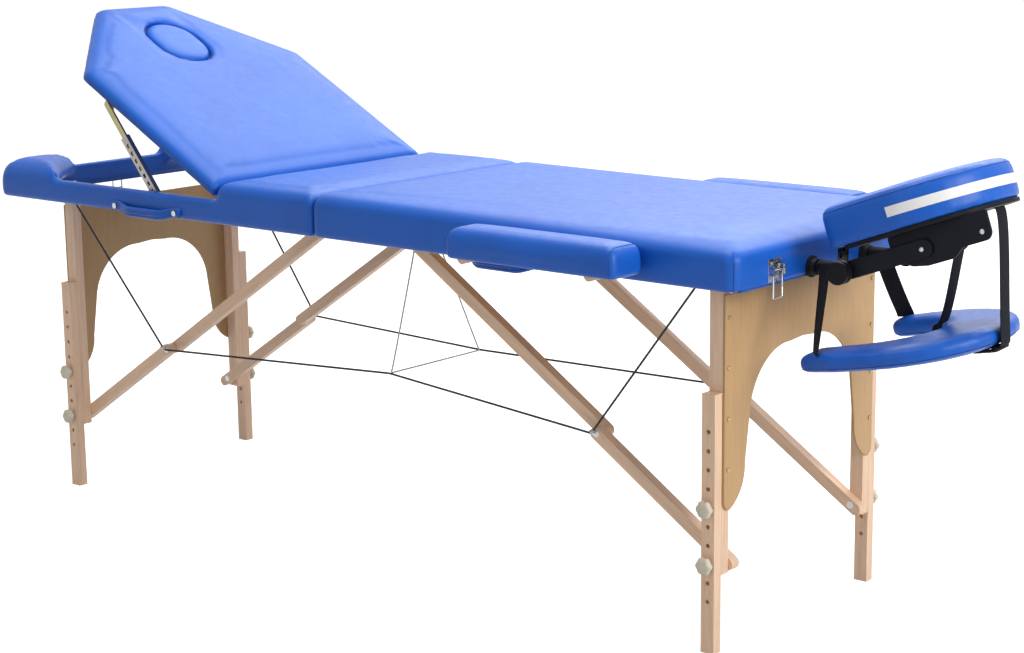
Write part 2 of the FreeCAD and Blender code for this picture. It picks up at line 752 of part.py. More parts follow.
def cradle_arms():
    """Side plates from the tilt axle out to the platform, with their bolts."""
    x = CRADLE_X
    z = CRADLE_Z
    outer = PEG_Y + PEG_R + 5.5
    arm = block(x, -outer, z - 15, x + 152, -outer + 5, z + 15)
    arm = arm.fuse(across(x, z, -outer, -outer + 5, 17))
    arm = arm.fuse(across(x + 152, z, -outer, -outer + 5, 15))
    arm = arm.cut(across(x, z, -outer - 1, -outer + 6, BOLT_R + FIT)).removeSplitter()
    corners = [
        V(x + 92, -outer + 5, z + 8),
        V(x + 120, -outer + 5, z - 22),
        V(x + 150, -outer + 5, z - 28),
        V(x + 200, -outer + 5, z - 28),
        V(x + 214, -outer + 5, z - 16),
        V(x + 268, -outer + 5, z - 12),
        V(x + 272, -outer + 5, z + 32),
        V(x + 92, -outer + 5, z + 32),
    ]
    wing = Part.Face(Part.makePolygon(corners + corners[:1])).extrude(V(0, 5, 0))
    out = [arm, wing]
    for px in (x + 149, x + 254):
        head = -outer - 2.5 if px < x + 200 else -outer + 2.5
        bottom = -outer if px < x + 200 else -outer + 5
        out.append(across(px, z, head, bottom, 5))
    return [cradle_tilted(s) for s in both_sides(out)]


def cradle_knobs():
    """Round clamping knobs on both ends of the tilt axle."""
    outer = PEG_Y + PEG_R + 6
    knob = across(CRADLE_X, CRADLE_Z, -outer, -outer - 20, 19)
    groove = across(CRADLE_X, CRADLE_Z, -outer - 8, -outer - 12, 30)
    groove = groove.cut(across(CRADLE_X, CRADLE_Z, -outer - 7, -outer - 13, 16.5))
    knob = knob.cut(groove).cut(across(CRADLE_X, CRADLE_Z, -outer + 1, -outer - 12, BOLT_R + FIT))
    return both_sides([knob])


def head_points():
    """U-shaped outline of the face pad, open toward the table."""
    x0 = CRADLE_X + 20
    x1 = x0 + PAD_LENGTH
    slot = x0 + 168
    return [
        (x0, -PAD_HALF),
        (x1, -PAD_HALF),
        (x1, PAD_HALF),
        (x0, PAD_HALF),
        (x0, 52),
        (slot, 52),
        (slot, -52),
        (x0, -52),
    ]


HEAD_RADII = [30, 136, 136, 30, 30, 46, 46, 30]


def cradle_platform():
    """U-shaped platform board that carries the face pad."""
    z = CRADLE_Z + 32
    board = plate(head_points(), HEAD_RADII, z, z + 7, 12.0)
    return [cradle_tilted(board)]


def face_pad():
    """U-shaped face cushion."""
    z = CRADLE_Z + 39
    return [cradle_tilted(cushion(head_points(), HEAD_RADII, z, z + PAD_T, 16))]


# Arm shelf and its straps
def shelf_points():
    """Crescent outline of the arm shelf, tips toward the table."""
    x0 = SHELF_X0
    x1 = x0 + SHELF_LENGTH
    slot = x0 + 160
    return [
        (x0, -SHELF_HALF + 14),
        (x0 + 60, -SHELF_HALF),
        (x1, -SHELF_HALF),
        (x1, SHELF_HALF),
        (x0 + 60, SHELF_HALF),
        (x0, SHELF_HALF - 14),
        (x0, SHELF_SLOT),
        (slot, SHELF_SLOT),
        (slot, -SHELF_SLOT),
        (x0, -SHELF_SLOT),
    ]


def arm_shelf():
    """Padded arm shelf hung below the cradle."""
    radii = [20, 20, 158, 158, 20, 20, 22, 84, 84, 22]
    pad = cushion(shelf_points(), radii, SHELF_Z - SHELF_T, SHELF_Z, 12)
    pad.rotate(V(SHELF_X0, 0, SHELF_Z), V(1, 0, 0), SHELF_ROLL)
    return [turned(pad, SHELF_X0, SHELF_Z, -SHELF_PITCH)]


def shelf_top(x, y):
    """Height of the shelf's top face at one place."""
    pitch = math.radians(SHELF_PITCH)
    rise = (x - SHELF_X0) * math.tan(pitch)
    return SHELF_Z + rise + y * math.tan(math.radians(SHELF_ROLL)) / math.cos(pitch)


def ribbon(top, low, wide, thick):
    """Flat webbing strap between two points, with its width and thickness as vectors."""
    corner = top - wide * 0.5 - thick * 0.5
    corners = [corner, corner + wide, corner + wide + thick, corner + thick]
    face = Part.Face(Part.makePolygon(corners + corners[:1]))
    return face.extrude(low - top)


def shelf_straps():
    """Two front straps from the pegs and two middle straps from the platform to the shelf."""
    out = []
    for sign in (-1, 1):
        top = V(962, sign * PEG_Y, CRADLE_Z - PEG_R - 1)
        low = V(980, sign * 145, shelf_top(980, sign * 145) + 3.6)
        out.append(ribbon(top, low, V(32, 0, 0), V(0, 1.6, 0)))
    inner = V(1132, STRAP_Y, shelf_top(1132, STRAP_Y) + 2.0)
    outer = V(1246, STRAP_Y, shelf_top(1246, STRAP_Y) - SHELF_T + 2)
    for u, low in ((196, inner), (260, outer)):
        out.append(ribbon(under_platform(u, STRAP_Y), low, V(0, 30, 0), V(1.6, 0, 0)))
    return out


def under_platform(u, y):
    """Place just below the tilted platform, by the reach from the tilt axle."""
    a = math.radians(CRADLE_TILT)
    drop = 29.5
    return V(
        CRADLE_X + u * math.cos(a) - drop * math.sin(a),
        y,
        CRADLE_Z + u * math.sin(a) + drop * math.cos(a),
    )


# Bracing cables
def chain(points, radius):
    """Cable along straight runs with rounded corners."""
    line = rod(points[0], points[1], radius)
    for start, end in zip(points[1:-1], points[2:]):
        line = line.fuse(Part.makeSphere(radius, start)).fuse(rod(start, end, radius))
    return line


def cables():
    """End cables and centre cables of both long sides."""
    out = []
    for side in (-1, 1):
        kx, kz = knee_point(side)
        top = V(LEG_PIVOT_X[side] - side * 22, -240, PIVOT_Z - 12)
        out.append(rod(top, V(kx + side * 2, -CABLE_LANE - 2.5, kz + 8), CABLE_R))
    lx, lz = knee_point(-1)
    rx, rz = knee_point(1)
    mid = V((lx + rx) / 2, -CABLE_MID_Y, CABLE_MID_Z)
    run = [V(lx + 6, -CABLE_LANE - 2.5, lz + 2), mid, V(rx - 6, -CABLE_LANE - 2.5, rz + 2)]
    out.append(chain(run, CABLE_R))
    return both_sides(out)


def centre_cord():
    """White cord loop that draws the centre cables up and together."""
    lx, _ = knee_point(-1)
    rx, _ = knee_point(1)
    x = (lx + rx) / 2
    y = CABLE_MID_Y - 3.5
    top = FRAME_BOTTOM - 4.0
    run = [V(12, -14, top), V(x, -y, CABLE_MID_Z), V(x, y, CABLE_MID_Z), V(12, 14, top)]
    return [chain(run, CORD_R)]


def build():
    """All nodes of the table."""
    for side, word in ((-1, "left"), (1, "right")):
        add(word + "_side_rails", side_rails(side))
        add(word + "_cross_rails", cross_rails(side))
        add(word + "_pivot_bolts", pivot_bolts(side))
        add(word + "_handle", handle(side))
        add(word + "_fittings", fittings(side))
        add(word + "_latch_loop", latch_loop(side))
        add(word + "_legs", leg_bars(side))
        add(word + "_end_panel", end_panel(side))
        add(word + "_panel_screws", panel_screws(side))
        add(word + "_extension_near", extension(side, -1))
        add(word + "_extension_far", extension(side, 1))
        add(word + "_upper_knobs", knobs(side, KNOB_Z[0]))
        add(word + "_lower_knobs", knobs(side, KNOB_Z[1]))
        add(word + "_upper_struts", upper_struts(side))
        add(word + "_lower_struts", lower_struts(side))
        add(word + "_strut_bolts", strut_bolts(side))
    add("left_hinge_leaves", fold_leaves(-1) + back_fixed_leaves())
    add("right_hinge_leaves", fold_leaves(1))
    add("fold_pins", fold_pins())
    add("seat_deck", [plate(seat_points(), [4] * 4, RAIL_TOP, DECK_TOP)])
    add("seat_cushion", [cushion(seat_points(), [16] * 4, DECK_TOP, TABLE_TOP, 22)])
    add("right_deck", [plate(main_points(), [4, 20, 20, 4], RAIL_TOP, DECK_TOP)])
    add("right_cushion", [cushion(main_points(), [16, 30, 30, 16], DECK_TOP, TABLE_TOP, 22)])
    add("corner_pads", corner_pads())
    add("backrest_board", backrest_board())
    add("backrest_pad", backrest_pad())
    add("backrest_brackets", back_brackets())
    add("face_hole_plug", face_plug())
    add("support_channels", support_channels())
    add("support_bars", support_bars())
    for sign, word in ((-1, "near"), (1, "far")):
        add("armrest_" + word + "_pad", arm_pad(sign))
        add("armrest_" + word + "_frame", arm_frame(sign))
    add("cradle_sockets", cradle_sockets())
    add("cradle_base", cradle_base())
    add("cradle_arms", cradle_arms())
    add("cradle_knobs", cradle_knobs())
    add("cradle_platform", cradle_platform())
    add("face_pad", face_pad())
    add("arm_shelf", arm_shelf())
    add("shelf_straps", shelf_straps())
    add("cables", cables())
    add("centre_cord", centre_cord())


build()
whole = Part.makeCompound([s for shapes in nodes.values() for s in shapes])
extent = whole.optimalBoundingBox(False, False)
shift = V(-(extent.XMin + extent.XMax) / 2, 0, 0)
os.makedirs("parts", exist_ok=True)
for name, shapes in nodes.items():
    placed = Part.makeCompound(shapes) if len(shapes) > 1 else shapes[0]
    placed.translate(shift)
    placed.exportStep("parts/" + name + ".step")
print("moved along X by", round(shift.x, 3), "size", extent.XLength, extent.YLength, extent.ZLength)
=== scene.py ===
import math

import bmesh
import bpy
import numpy as np
from mathutils import Matrix, Vector
from mathutils.bvhtree import BVHTree


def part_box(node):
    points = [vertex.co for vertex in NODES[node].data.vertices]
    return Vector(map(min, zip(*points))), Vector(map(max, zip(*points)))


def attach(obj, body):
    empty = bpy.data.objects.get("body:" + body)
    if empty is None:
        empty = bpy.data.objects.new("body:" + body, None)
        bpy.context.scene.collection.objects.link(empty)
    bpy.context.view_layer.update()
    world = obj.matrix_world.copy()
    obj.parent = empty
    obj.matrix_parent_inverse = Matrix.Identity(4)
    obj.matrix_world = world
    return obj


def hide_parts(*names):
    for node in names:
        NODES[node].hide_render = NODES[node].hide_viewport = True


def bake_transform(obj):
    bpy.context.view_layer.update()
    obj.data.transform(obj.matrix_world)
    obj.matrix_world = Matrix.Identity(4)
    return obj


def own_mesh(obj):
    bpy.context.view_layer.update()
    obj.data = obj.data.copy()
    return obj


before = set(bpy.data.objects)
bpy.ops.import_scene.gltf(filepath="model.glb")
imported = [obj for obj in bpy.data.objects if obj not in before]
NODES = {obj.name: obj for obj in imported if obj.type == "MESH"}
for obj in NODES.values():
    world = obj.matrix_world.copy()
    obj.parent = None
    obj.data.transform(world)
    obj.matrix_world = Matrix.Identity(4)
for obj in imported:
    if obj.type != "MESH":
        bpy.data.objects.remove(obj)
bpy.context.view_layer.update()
SCENE = bpy.context.scene

# Places in millimetres, measured from the fold as in the part's source
low_pin, high_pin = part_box("fold_pins")
FOLD_X = (low_pin.x + high_pin.x) / 2
HALF_LENGTH = 930.0
HALF_W = 300.0
BACK_X = -273.0
BACK_Z = 661.0
BACK_TILT = 28.5
CRADLE_X = 1000.0
CRADLE_Z = 634.0
CRADLE_TILT = 20.0
SHELF_X0 = 955.0
SHELF_Z = 511.0
SHELF_PITCH = 11.0
SHELF_ROLL = 3.5
STRAP_Y = -14.0
STRAP_SLANT = 28.0
PANEL_TOP = 601.0
STRUT_ANGLE = 33.0026
UPPER_STRUT = 585.6285
STRUT_Z = 643.0
STRUT_PIVOT = {-1: -42.0, 1: 92.0}
LEG_X = {-1: -798.0, 1: 848.0}
LEG_BOLT_Y = 240.0
EYE_Y = 216.5
PEG_Y = 82.0
HALVES = ((-1, "left"), (1, "right"))
SIDES = ((-1, "near"), (1, "far"))


def at(x, y, z):
    """Point of the row frame, in metres, for a place in millimetres from the fold."""
    return Vector((FOLD_X + x / 1000, y / 1000, z / 1000))


def turn_y(x, z, x0, z0, degrees):
    """A place turned about an axis along Y, as the part's source turns its solids."""
    a = math.radians(degrees)
    dx, dz = x - x0, z - z0
    return x0 + dx * math.cos(a) + dz * math.sin(a), z0 - dx * math.sin(a) + dz * math.cos(a)


# Camera at the photograph's place
CAMERA_AT = at(2773.56, -2994.07, 1245.53)
CAMERA_YAW = math.radians(40.4553)
CAMERA_PITCH = math.radians(11.6853)
CAMERA_ROLL = math.radians(-0.7027)


def add_camera():
    data = bpy.data.cameras.new("camera")
    data.sensor_width = 36.0
    data.lens = 74.947
    data.clip_end = 60.0
    camera = bpy.data.objects.new("camera", data)
    SCENE.collection.objects.link(camera)
    sin_a, cos_a = math.sin(CAMERA_YAW), math.cos(CAMERA_YAW)
    sin_e, cos_e = math.sin(CAMERA_PITCH), math.cos(CAMERA_PITCH)
    ahead = Vector((-sin_a * cos_e, cos_a * cos_e, -sin_e))
    right = Vector((cos_a, sin_a, 0.0))
    up = right.cross(ahead)
    across = right * math.cos(CAMERA_ROLL) + up * math.sin(CAMERA_ROLL)
    above = up * math.cos(CAMERA_ROLL) - right * math.sin(CAMERA_ROLL)
    turn = Matrix((across, above, -ahead)).transposed()
    camera.matrix_world = Matrix.Translation(CAMERA_AT) @ turn.to_4x4()
    SCENE.camera = camera


add_camera()


# Materials
class Paint:
    """A node material under construction."""

    def __init__(self, name):
        self.material = bpy.data.materials.new(name)
        self.material.use_nodes = True
        self.tree = self.material.node_tree
        self.shader = self.tree.nodes["Principled BSDF"]

    def node(self, kind, **values):
        made = self.tree.nodes.new(kind)
        for key, value in values.items():
            if key in made.inputs:
                made.inputs[key].default_value = value
            else:
                setattr(made, key, value)
        return made

    def link(self, source, target):
        self.tree.links.new(source, target)

    def place(self, rotation=(0, 0, 0), scale=(1, 1, 1), source="Object"):
        """Coordinates of the object or its UV map, turned and then stretched."""
        turn = self.node("ShaderNodeVectorRotate", rotation_type="EULER_XYZ")
        turn.inputs["Rotation"].default_value = [math.radians(v) for v in rotation]
        self.link(self.node("ShaderNodeTexCoord").outputs[source], turn.inputs["Vector"])
        mapping = self.node("ShaderNodeMapping")
        mapping.inputs["Scale"].default_value = scale
        self.link(turn.outputs["Vector"], mapping.inputs["Vector"])
        return mapping.outputs["Vector"]

    def noise(self, vector, scale, detail=2.0, rough=0.5):
        made = self.node("ShaderNodeTexNoise", Scale=scale, Detail=detail, Roughness=rough)
        self.link(vector, made.inputs["Vector"])
        return made.outputs["Fac"]

    def ramp(self, value, stops):
        """Colours or greys against a value."""
        made = self.node("ShaderNodeValToRGB")
        elements = made.color_ramp.elements
        while len(elements) < len(stops):
            elements.new(0.5)
        for element, (place, colour) in zip(elements, stops):
            element.position = place
            grey = not hasattr(colour, "__len__")
            element.color = (colour, colour, colour, 1) if grey else (*colour, 1)
        self.link(value, made.inputs["Fac"])
        return made.outputs["Color"]

    def mix(self, factor, first, second, blend="MIX"):
        made = self.node("ShaderNodeMix", data_type="RGBA", blend_type=blend)
        for socket, value in ((made.inputs[0], factor), (made.inputs[6], first), (made.inputs[7], second)):
            if hasattr(value, "is_linked") or hasattr(value, "links"):
                self.link(value, socket)
            elif hasattr(value, "__len__"):
                socket.default_value = (*value, 1)
            else:
                socket.default_value = value
        return made.outputs[2]

    def coordinate(self, axis):
        """The object's own coordinate along one axis."""
        split = self.node("ShaderNodeSeparateXYZ")
        self.link(self.place(), split.inputs["Vector"])
        return split.outputs[axis]

    def calculate(self, operation, value, number):
        made = self.node("ShaderNodeMath", operation=operation)
        self.link(value, made.inputs[0])
        made.inputs[1].default_value = number
        return made.outputs[0]

    def bump(self, height, strength, distance, before=None):
        made = self.node("ShaderNodeBump", Strength=strength, Distance=distance)
        self.link(height, made.inputs["Height"])
        if before is not None:
            self.link(before, made.inputs["Normal"])
        return made.outputs["Normal"]

    def finish(self, colour=None, roughness=None, normal=None, **constants):
        for value, key in ((colour, "Base Color"), (roughness, "Roughness"), (normal, "Normal")):
            if value is not None:
                self.link(value, self.shader.inputs[key])
        for key, value in constants.items():
            self.shader.inputs[key.replace("_", " ")].default_value = value
        return self.material


def shade(colour, factor):
    """A colour made lighter or darker."""
    return tuple(min(1.0, v * factor) for v in colour)


def vinyl(name, colour):
    """Upholstery vinyl: pebbled grain, faint clouding and slow ripples."""
    p = Paint(name)
    place = p.place()
    cloud = p.noise(place, 5.0, 3.0)
    tint = p.ramp(cloud, [(0.3, shade(colour, 0.90)), (0.7, shade(colour, 1.10))])
    cells = p.node("ShaderNodeTexVoronoi", Scale=620.0, feature="DISTANCE_TO_EDGE")
    p.link(place, cells.inputs["Vector"])
    grain = p.ramp(cells.outputs["Distance"], [(0.0, 0.0), (0.35, 1.0)])
    tint = p.mix(0.10, tint, grain, "MULTIPLY")
    ripple = p.noise(place, 16.0, 2.0)
    normal = p.bump(ripple, 0.10, 0.004)
    normal = p.bump(grain, 0.16, 0.0004, normal)
    rough = p.ramp(p.noise(place, 60.0, 3.0), [(0.3, 0.34), (0.7, 0.43)])
    return p.finish(tint, rough, normal, IOR=1.36)


def wood(name, colour, rotation=(0, 0, 0), plies=None, figure=1.0):
    """Pale hardwood with its grain along the turned X axis, and ply lines where asked for."""
    p = Paint(name)
    place = p.place(rotation, (4.0, 60.0, 60.0))
    fine = p.place(rotation, (14.0, 620.0, 620.0))
    growth = p.noise(place, 1.6, 4.0, 0.6)
    pores = p.noise(fine, 1.0, 2.0, 0.6)
    dark, pale = shade(colour, 1 - 0.14 * figure), shade(colour, 1 + 0.10 * figure)
    tint = p.ramp(growth, [(0.28, dark), (0.5, colour), (0.72, pale)])
    fleck = p.ramp(pores, [(0.34, (0.72, 0.62, 0.55)), (0.52, (1.0, 1.0, 1.0))])
    tint = p.mix(0.28, tint, fleck, "MULTIPLY")
    if plies:
        axis, pitch = plies
        wave = p.calculate("PINGPONG", p.coordinate(axis), pitch)
        layers = p.ramp(wave, [(0.0, 0.62), (pitch * 0.6, 1.0)])
        tint = p.mix(0.7, tint, layers, "MULTIPLY")
    rough = p.ramp(growth, [(0.3, 0.46), (0.7, 0.58)])
    return p.finish(tint, rough, p.bump(pores, 0.12, 0.0004), Coat_Weight=0.12, Coat_Roughness=0.35)


def metal(name, colour, smooth, brushed=(1, 1, 1), painted_shade_from=None):
    """Metal with fine brushing or a light haze, with painted shade (near black) beyond a place across the
    table where given.
    """
    p = Paint(name)
    scratch = p.noise(p.place((0, 0, 0), brushed), 300.0, 3.0)
    dull = p.noise(p.place(), 40.0, 2.0)
    tint = p.ramp(dull, [(0.3, shade(colour, 0.86)), (0.7, colour)])
    # Painted shade: beyond the given place across the table the metal is painted near black, standing for
    # the shadow under the face pad.
    if painted_shade_from is not None:
        beyond = p.calculate("GREATER_THAN", p.coordinate("Y"), painted_shade_from)
        tint = p.mix(beyond, tint, (0.03, 0.03, 0.035))
    rough = p.ramp(scratch, [(0.3, smooth), (0.7, smooth + 0.14)])
    return p.finish(tint, rough, p.bump(scratch, 0.06, 0.0002), Metallic=1.0)


def plastic(name, colour, rough_low, grain, ior=1.4):
    """Moulded plastic with a fine spark texture."""
    p = Paint(name)
    place = p.place()
    cloud = p.noise(place, 30.0, 2.0)
    tint = p.ramp(cloud, [(0.3, shade(colour, 0.9)), (0.7, shade(colour, 1.08))])
    spark = p.noise(place, 1400.0, 2.0)
    rough = p.ramp(cloud, [(0.3, rough_low), (0.7, rough_low + 0.12)])
    return p.finish(tint, rough, p.bump(spark, grain, 0.0003), IOR=ior)


def woven(name, colour, scale, source="UV"):
    """Webbing or braid: crossed threads that rise over each other."""
    p = Paint(name)
    place = p.place((0, 0, 0), scale, source)
    first = p.node("ShaderNodeTexWave", Scale=1.0, Distortion=0.4, bands_direction="X")
    second = p.node("ShaderNodeTexWave", Scale=1.0, Distortion=0.4, bands_direction="Y")
    p.link(place, first.inputs["Vector"])
    p.link(place, second.inputs["Vector"])
    cross = p.mix(0.5, first.outputs["Color"], second.outputs["Color"], "MULTIPLY")
    tint = p.ramp(cross, [(0.0, shade(colour, 0.55)), (0.7, shade(colour, 1.25))])
    return p.finish(tint, None, p.bump(cross, 0.5, 0.0006), Roughness=0.82, IOR=1.25)


BLUE = (0.006, 0.104, 0.515)
BEECH = (0.79, 0.545, 0.375)
PANEL = (0.58, 0.350, 0.150)
MAT = {
    "blue_vinyl": vinyl("blue_vinyl", BLUE),
    "handle_vinyl": vinyl("handle_vinyl", shade(BLUE, 0.85)),
    "covered_rail": vinyl("covered_rail", shade(BLUE, 0.8)),
    "seam": vinyl("seam_thread", shade(BLUE, 0.55)),
    "white_band": vinyl("white_band", (0.82, 0.82, 0.80)),
    "upright": wood("beech_upright", BEECH, (0, 90, 0)),
    "along": wood("beech_along", BEECH),
    "strut_left": wood("beech_strut_left", BEECH, (0, STRUT_ANGLE, 0)),
    "strut_right": wood("beech_strut_right", BEECH, (0, -STRUT_ANGLE, 0)),
    "panel": wood("plywood_panel", PANEL, (0, 90, 0), ("X", 0.0017), 0.4),
    "deck": wood("plywood_deck", PANEL, (0, 0, 0), ("Z", 0.0017)),
    "steel": metal("zinc_plated_steel", (0.46, 0.46, 0.45), 0.3, (1, 1, 6)),
    "chrome": metal("chrome", (0.56, 0.57, 0.60), 0.12),
    "end_fittings": metal("chrome_with_painted_shade", (0.50, 0.51, 0.54), 0.16, painted_shade_from=-0.1),
    "zinc_steel": metal("yellow_zinc_steel", (0.42, 0.38, 0.21), 0.34, (1, 1, 6)),
    "support_steel": metal("support_steel", (0.40, 0.37, 0.34), 0.32, (1, 1, 6)),
    "brass": metal("brass_screws", (0.40, 0.31, 0.16), 0.30),
    "ivory_plastic": plastic("ivory_plastic", (0.66, 0.60, 0.48), 0.42, 0.08),
    "black_metal": plastic("black_painted_metal", (0.006, 0.007, 0.012), 0.40, 0.05, 1.22),
    "black_plastic": plastic("black_plastic", (0.006, 0.006, 0.009), 0.48, 0.12, 1.22),
    "webbing": woven("black_webbing", (0.008, 0.009, 0.014), (6.0, 8.0, 1.0)),
    "cable_cover": plastic("cable_cover", (0.010, 0.010, 0.012), 0.5, 0.10),
    "white_cord": woven("white_braid", (0.95, 0.95, 0.93), (10.0, 90.0, 1.0)),
}


# Building pieces
def solid(name, bm):
    """Object of a finished closed shape, with its normals outward."""
    bmesh.ops.recalc_face_normals(bm, faces=bm.faces)
    mesh = bpy.data.meshes.new(name)
    bm.to_mesh(mesh)
    bm.free()
    obj = bpy.data.objects.new(name, mesh)
    SCENE.collection.objects.link(obj)
    return obj


def coat(obj, material):
    """One material all over an object."""
    obj.data.materials.clear()
    obj.data.materials.append(MAT[material])


def piece(name, bm, material, body, nodes=(), crease=50):
    """Finished shape that rides on a body and stands for CAD nodes, smooth apart from its creases."""
    obj = solid(name, bm)
    obj.data.shade_smooth()
    obj.data.set_sharp_from_angle(angle=math.radians(crease))
    coat(obj, material)
    if body:
        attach(obj, body)
    if nodes:
        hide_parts(*nodes)
    return obj


def stitch(bm, rows, closed=False):
    """Faces between equal rows of points, capped at both ends unless the last row joins the first."""
    bands = []
    for first, second in zip(rows, rows[1:] + rows[:1] if closed else rows[1:]):
        quads = zip(first, first[1:] + first[:1], second[1:] + second[:1], second)
        bands.append([bm.faces.new(corners) for corners in quads])
    if not closed:
        bm.faces.new(list(reversed(rows[0])))
        bm.faces.new(rows[-1])
    return bands


def corner_inset(points, inset):
    """Corners of an anticlockwise outline moved inward."""
    out = []
    for i, here in enumerate(points):
        before, after = points[i - 1], points[(i + 1) % len(points)]
        a = math.atan2(here[1] - before[1], here[0] - before[0])
        b = math.atan2(after[1] - here[1], after[0] - here[0])
        na, nb = (-math.sin(a), math.cos(a)), (-math.sin(b), math.cos(b))
        share = 1.0 + na[0] * nb[0] + na[1] * nb[1]
        x = here[0] + inset * (na[0] + nb[0]) / share
        y = here[1] + inset * (na[1] + nb[1]) / share
        out.append((x, y, math.sin(b - a) > 0))
    return out


CORNER_STEPS = 8


def ring(points, radii, inset, steps=CORNER_STEPS):
    """Rounded outline as a list of places."""
    corners = corner_inset(points, inset)
    out = []
    for i, (x, y, convex) in enumerate(corners):
        radius = max(radii[i] - inset, 2.0) if convex else radii[i] + inset
        here = Vector((x, y))
        back = (Vector(corners[i - 1][:2]) - here).normalized()
        on = (Vector(corners[(i + 1) % len(corners)][:2]) - here).normalized()
        half = back.angle(on) / 2
        reach = radius / math.tan(half)
        middle = here + (back + on).normalized() * (radius / math.sin(half))
        start, end = here + back * reach - middle, here + on * reach - middle
        sweep = start.angle_signed(end)
        for k in range(steps + 1):
            spin = Matrix.Rotation(-sweep * k / steps, 2)
            out.append(middle + spin @ start)
    return out


def add_loft(bm, points, radii, levels, reshape=None):
    """Closed loft through insets of an outline at several heights, in millimetres."""
    rings = []
    for z, inset in levels:
        row = []
        for p in ring(points, radii, inset):
            place = (p.x, p.y, z)
            if reshape:
                place = reshape(*place)
            row.append(bm.verts.new(at(*place)))
        rings.append(row)
    stitch(bm, rings)


def cut(obj, shape):
    """Cut a closed shape out of an object."""
    cutter = solid("cutter", shape)
    modifier = obj.modifiers.new("cut", "BOOLEAN")
    modifier.operation = "DIFFERENCE"
    modifier.solver = "EXACT"
    modifier.object = cutter
    settle(obj)
    bpy.data.objects.remove(cutter)


def cut_box(obj, x0, x1, half_y, z0, z1):
    """Cut a box out of an object, in millimetres."""
    bm = bmesh.new()
    v = [bm.verts.new(at(x, y, z)) for z in (z0, z1) for x, y in rectangle(x0, x1, -half_y, half_y)]
    for face in ((3, 2, 1, 0), (4, 5, 6, 7), (0, 1, 5, 4), (1, 2, 6, 5), (2, 3, 7, 6), (3, 0, 4, 7)):
        bm.faces.new([v[i] for i in face])
    cut(obj, bm)


def settle(obj):
    """Put the result of an object's modifiers into its mesh."""
    graph = bpy.context.evaluated_depsgraph_get()
    graph.update()
    mesh = bpy.data.meshes.new_from_object(obj.evaluated_get(graph))
    obj.modifiers.clear()
    obj.data = mesh


def rectangle(x0, x1, y0, y1):
    return [(x0, y0), (x1, y0), (x1, y1), (x0, y1)]


def coordinates(mesh):
    out = np.zeros(len(mesh.vertices) * 3)
    mesh.vertices.foreach_get("co", out)
    return out.reshape(-1, 3)


def relax(mesh, rounds, weight=None):
    """Laplacian smoothing, as much as the weight says at each point."""
    co = coordinates(mesh)
    edges = np.array([e.vertices[:] for e in mesh.edges])
    count = np.bincount(edges.ravel(), minlength=len(co)).reshape(-1, 1)
    share = 0.5 if weight is None else 0.5 * weight.reshape(-1, 1)
    for _ in range(rounds):
        total = np.zeros_like(co)
        np.add.at(total, edges[:, 0], co[edges[:, 1]])
        np.add.at(total, edges[:, 1], co[edges[:, 0]])
        co += share * (total / count - co)
    mesh.vertices.foreach_set("co", co.ravel())
    mesh.update()


SOFT = []
FULLY_FREE = 0.999


def remeshed(obj, voxel, cap, loose):
    """Closed shape in even faces, which the cloth pass swells up to the cap where loose says so."""
    modifier = obj.modifiers.new("remesh", "REMESH")
    modifier.mode = "VOXEL"
    modifier.voxel_size = voxel
    settle(obj)
    relax(obj.data, 3)
    co = coordinates(obj.data)
    free = np.array([loose(1000 * (x - FOLD_X), 1000 * y, 1000 * z) for x, y, z in co])
    SOFT.append((obj, co, free, cap))
    return obj


def swell(frames=20):
    """One cloth pass for all soft pieces: pressure from inside, pinned where they are held."""
    for obj, _, free, _ in SOFT:
        pins = obj.vertex_groups.new(name="held")
        for i, value in enumerate(free):
            if value < FULLY_FREE:
                pins.add([i], float(1.0 - value), "REPLACE")
        cloth = obj.modifiers.new("cloth", "CLOTH")
        settings = cloth.settings
        settings.quality = 4
        settings.mass = 0.4
        settings.tension_stiffness = 18.0
        settings.compression_stiffness = 18.0
        settings.shear_stiffness = 8.0
        settings.bending_stiffness = 1.0
        settings.use_pressure = True
        settings.uniform_pressure_force = 4.0
        settings.effector_weights.gravity = 0.0
        settings.vertex_group_mass = "held"
        cloth.point_cache.frame_start = 1
        cloth.point_cache.frame_end = frames
        cloth.collision_settings.use_collision = False
        cloth.collision_settings.use_self_collision = False
    for number in range(1, frames + 1):
        SCENE.frame_set(number)
    for obj, before, free, cap in SOFT:
        normals = np.zeros(before.size)
        obj.data.vertices.foreach_get("normal", normals)
        normals = normals.reshape(-1, 3)
        settle(obj)
        obj.vertex_groups.clear()
        move = coordinates(obj.data) - before
        move -= normals * np.minimum(0.0, (move * normals).sum(axis=1, keepdims=True))
        size = np.linalg.norm(move, axis=1, keepdims=True)
        move *= np.minimum(1.0, cap / np.maximum(size, 1e-9)) * free.reshape(-1, 1)
        obj.data.vertices.foreach_set("co", (before + move).ravel())
        relax(obj.data, 3, free)
    SCENE.frame_set(1)


def ramp_up(value, low, high):
    """0 below low, 1 above high and smooth between."""
    t = min(1.0, max(0.0, (value - low) / (high - low)))
    return t * t * (3 - 2 * t)


# Covers and pads
TOP = 703.0
COVER_X, COVER_Y = 931.2, 301.2
WELL_X, WELL_Y = 910.8, 281.0
FOLD_GAP = 0.4
FOLD_WALL = 20.0
BELOW_FRAME = 600.0
DECK_TOP = 671.0
COVER_VOXEL, BACK_VOXEL, PAD_VOXEL = 0.006, 0.005, 0.004


def cover_levels(z1):
    """Vinyl from the frame's bottom edge up over the rail and the crowned top."""
    return [
        (619.2, 1.6), (621.5, 0.0), (z1 - 24, 0.0), (z1 - 15, 1.6), (z1 - 8, 6.0),
        (z1 - 3.5, 12.5), (z1 - 1, 22.0), (z1, 38.0), (z1 + 1, 80.0),
    ]


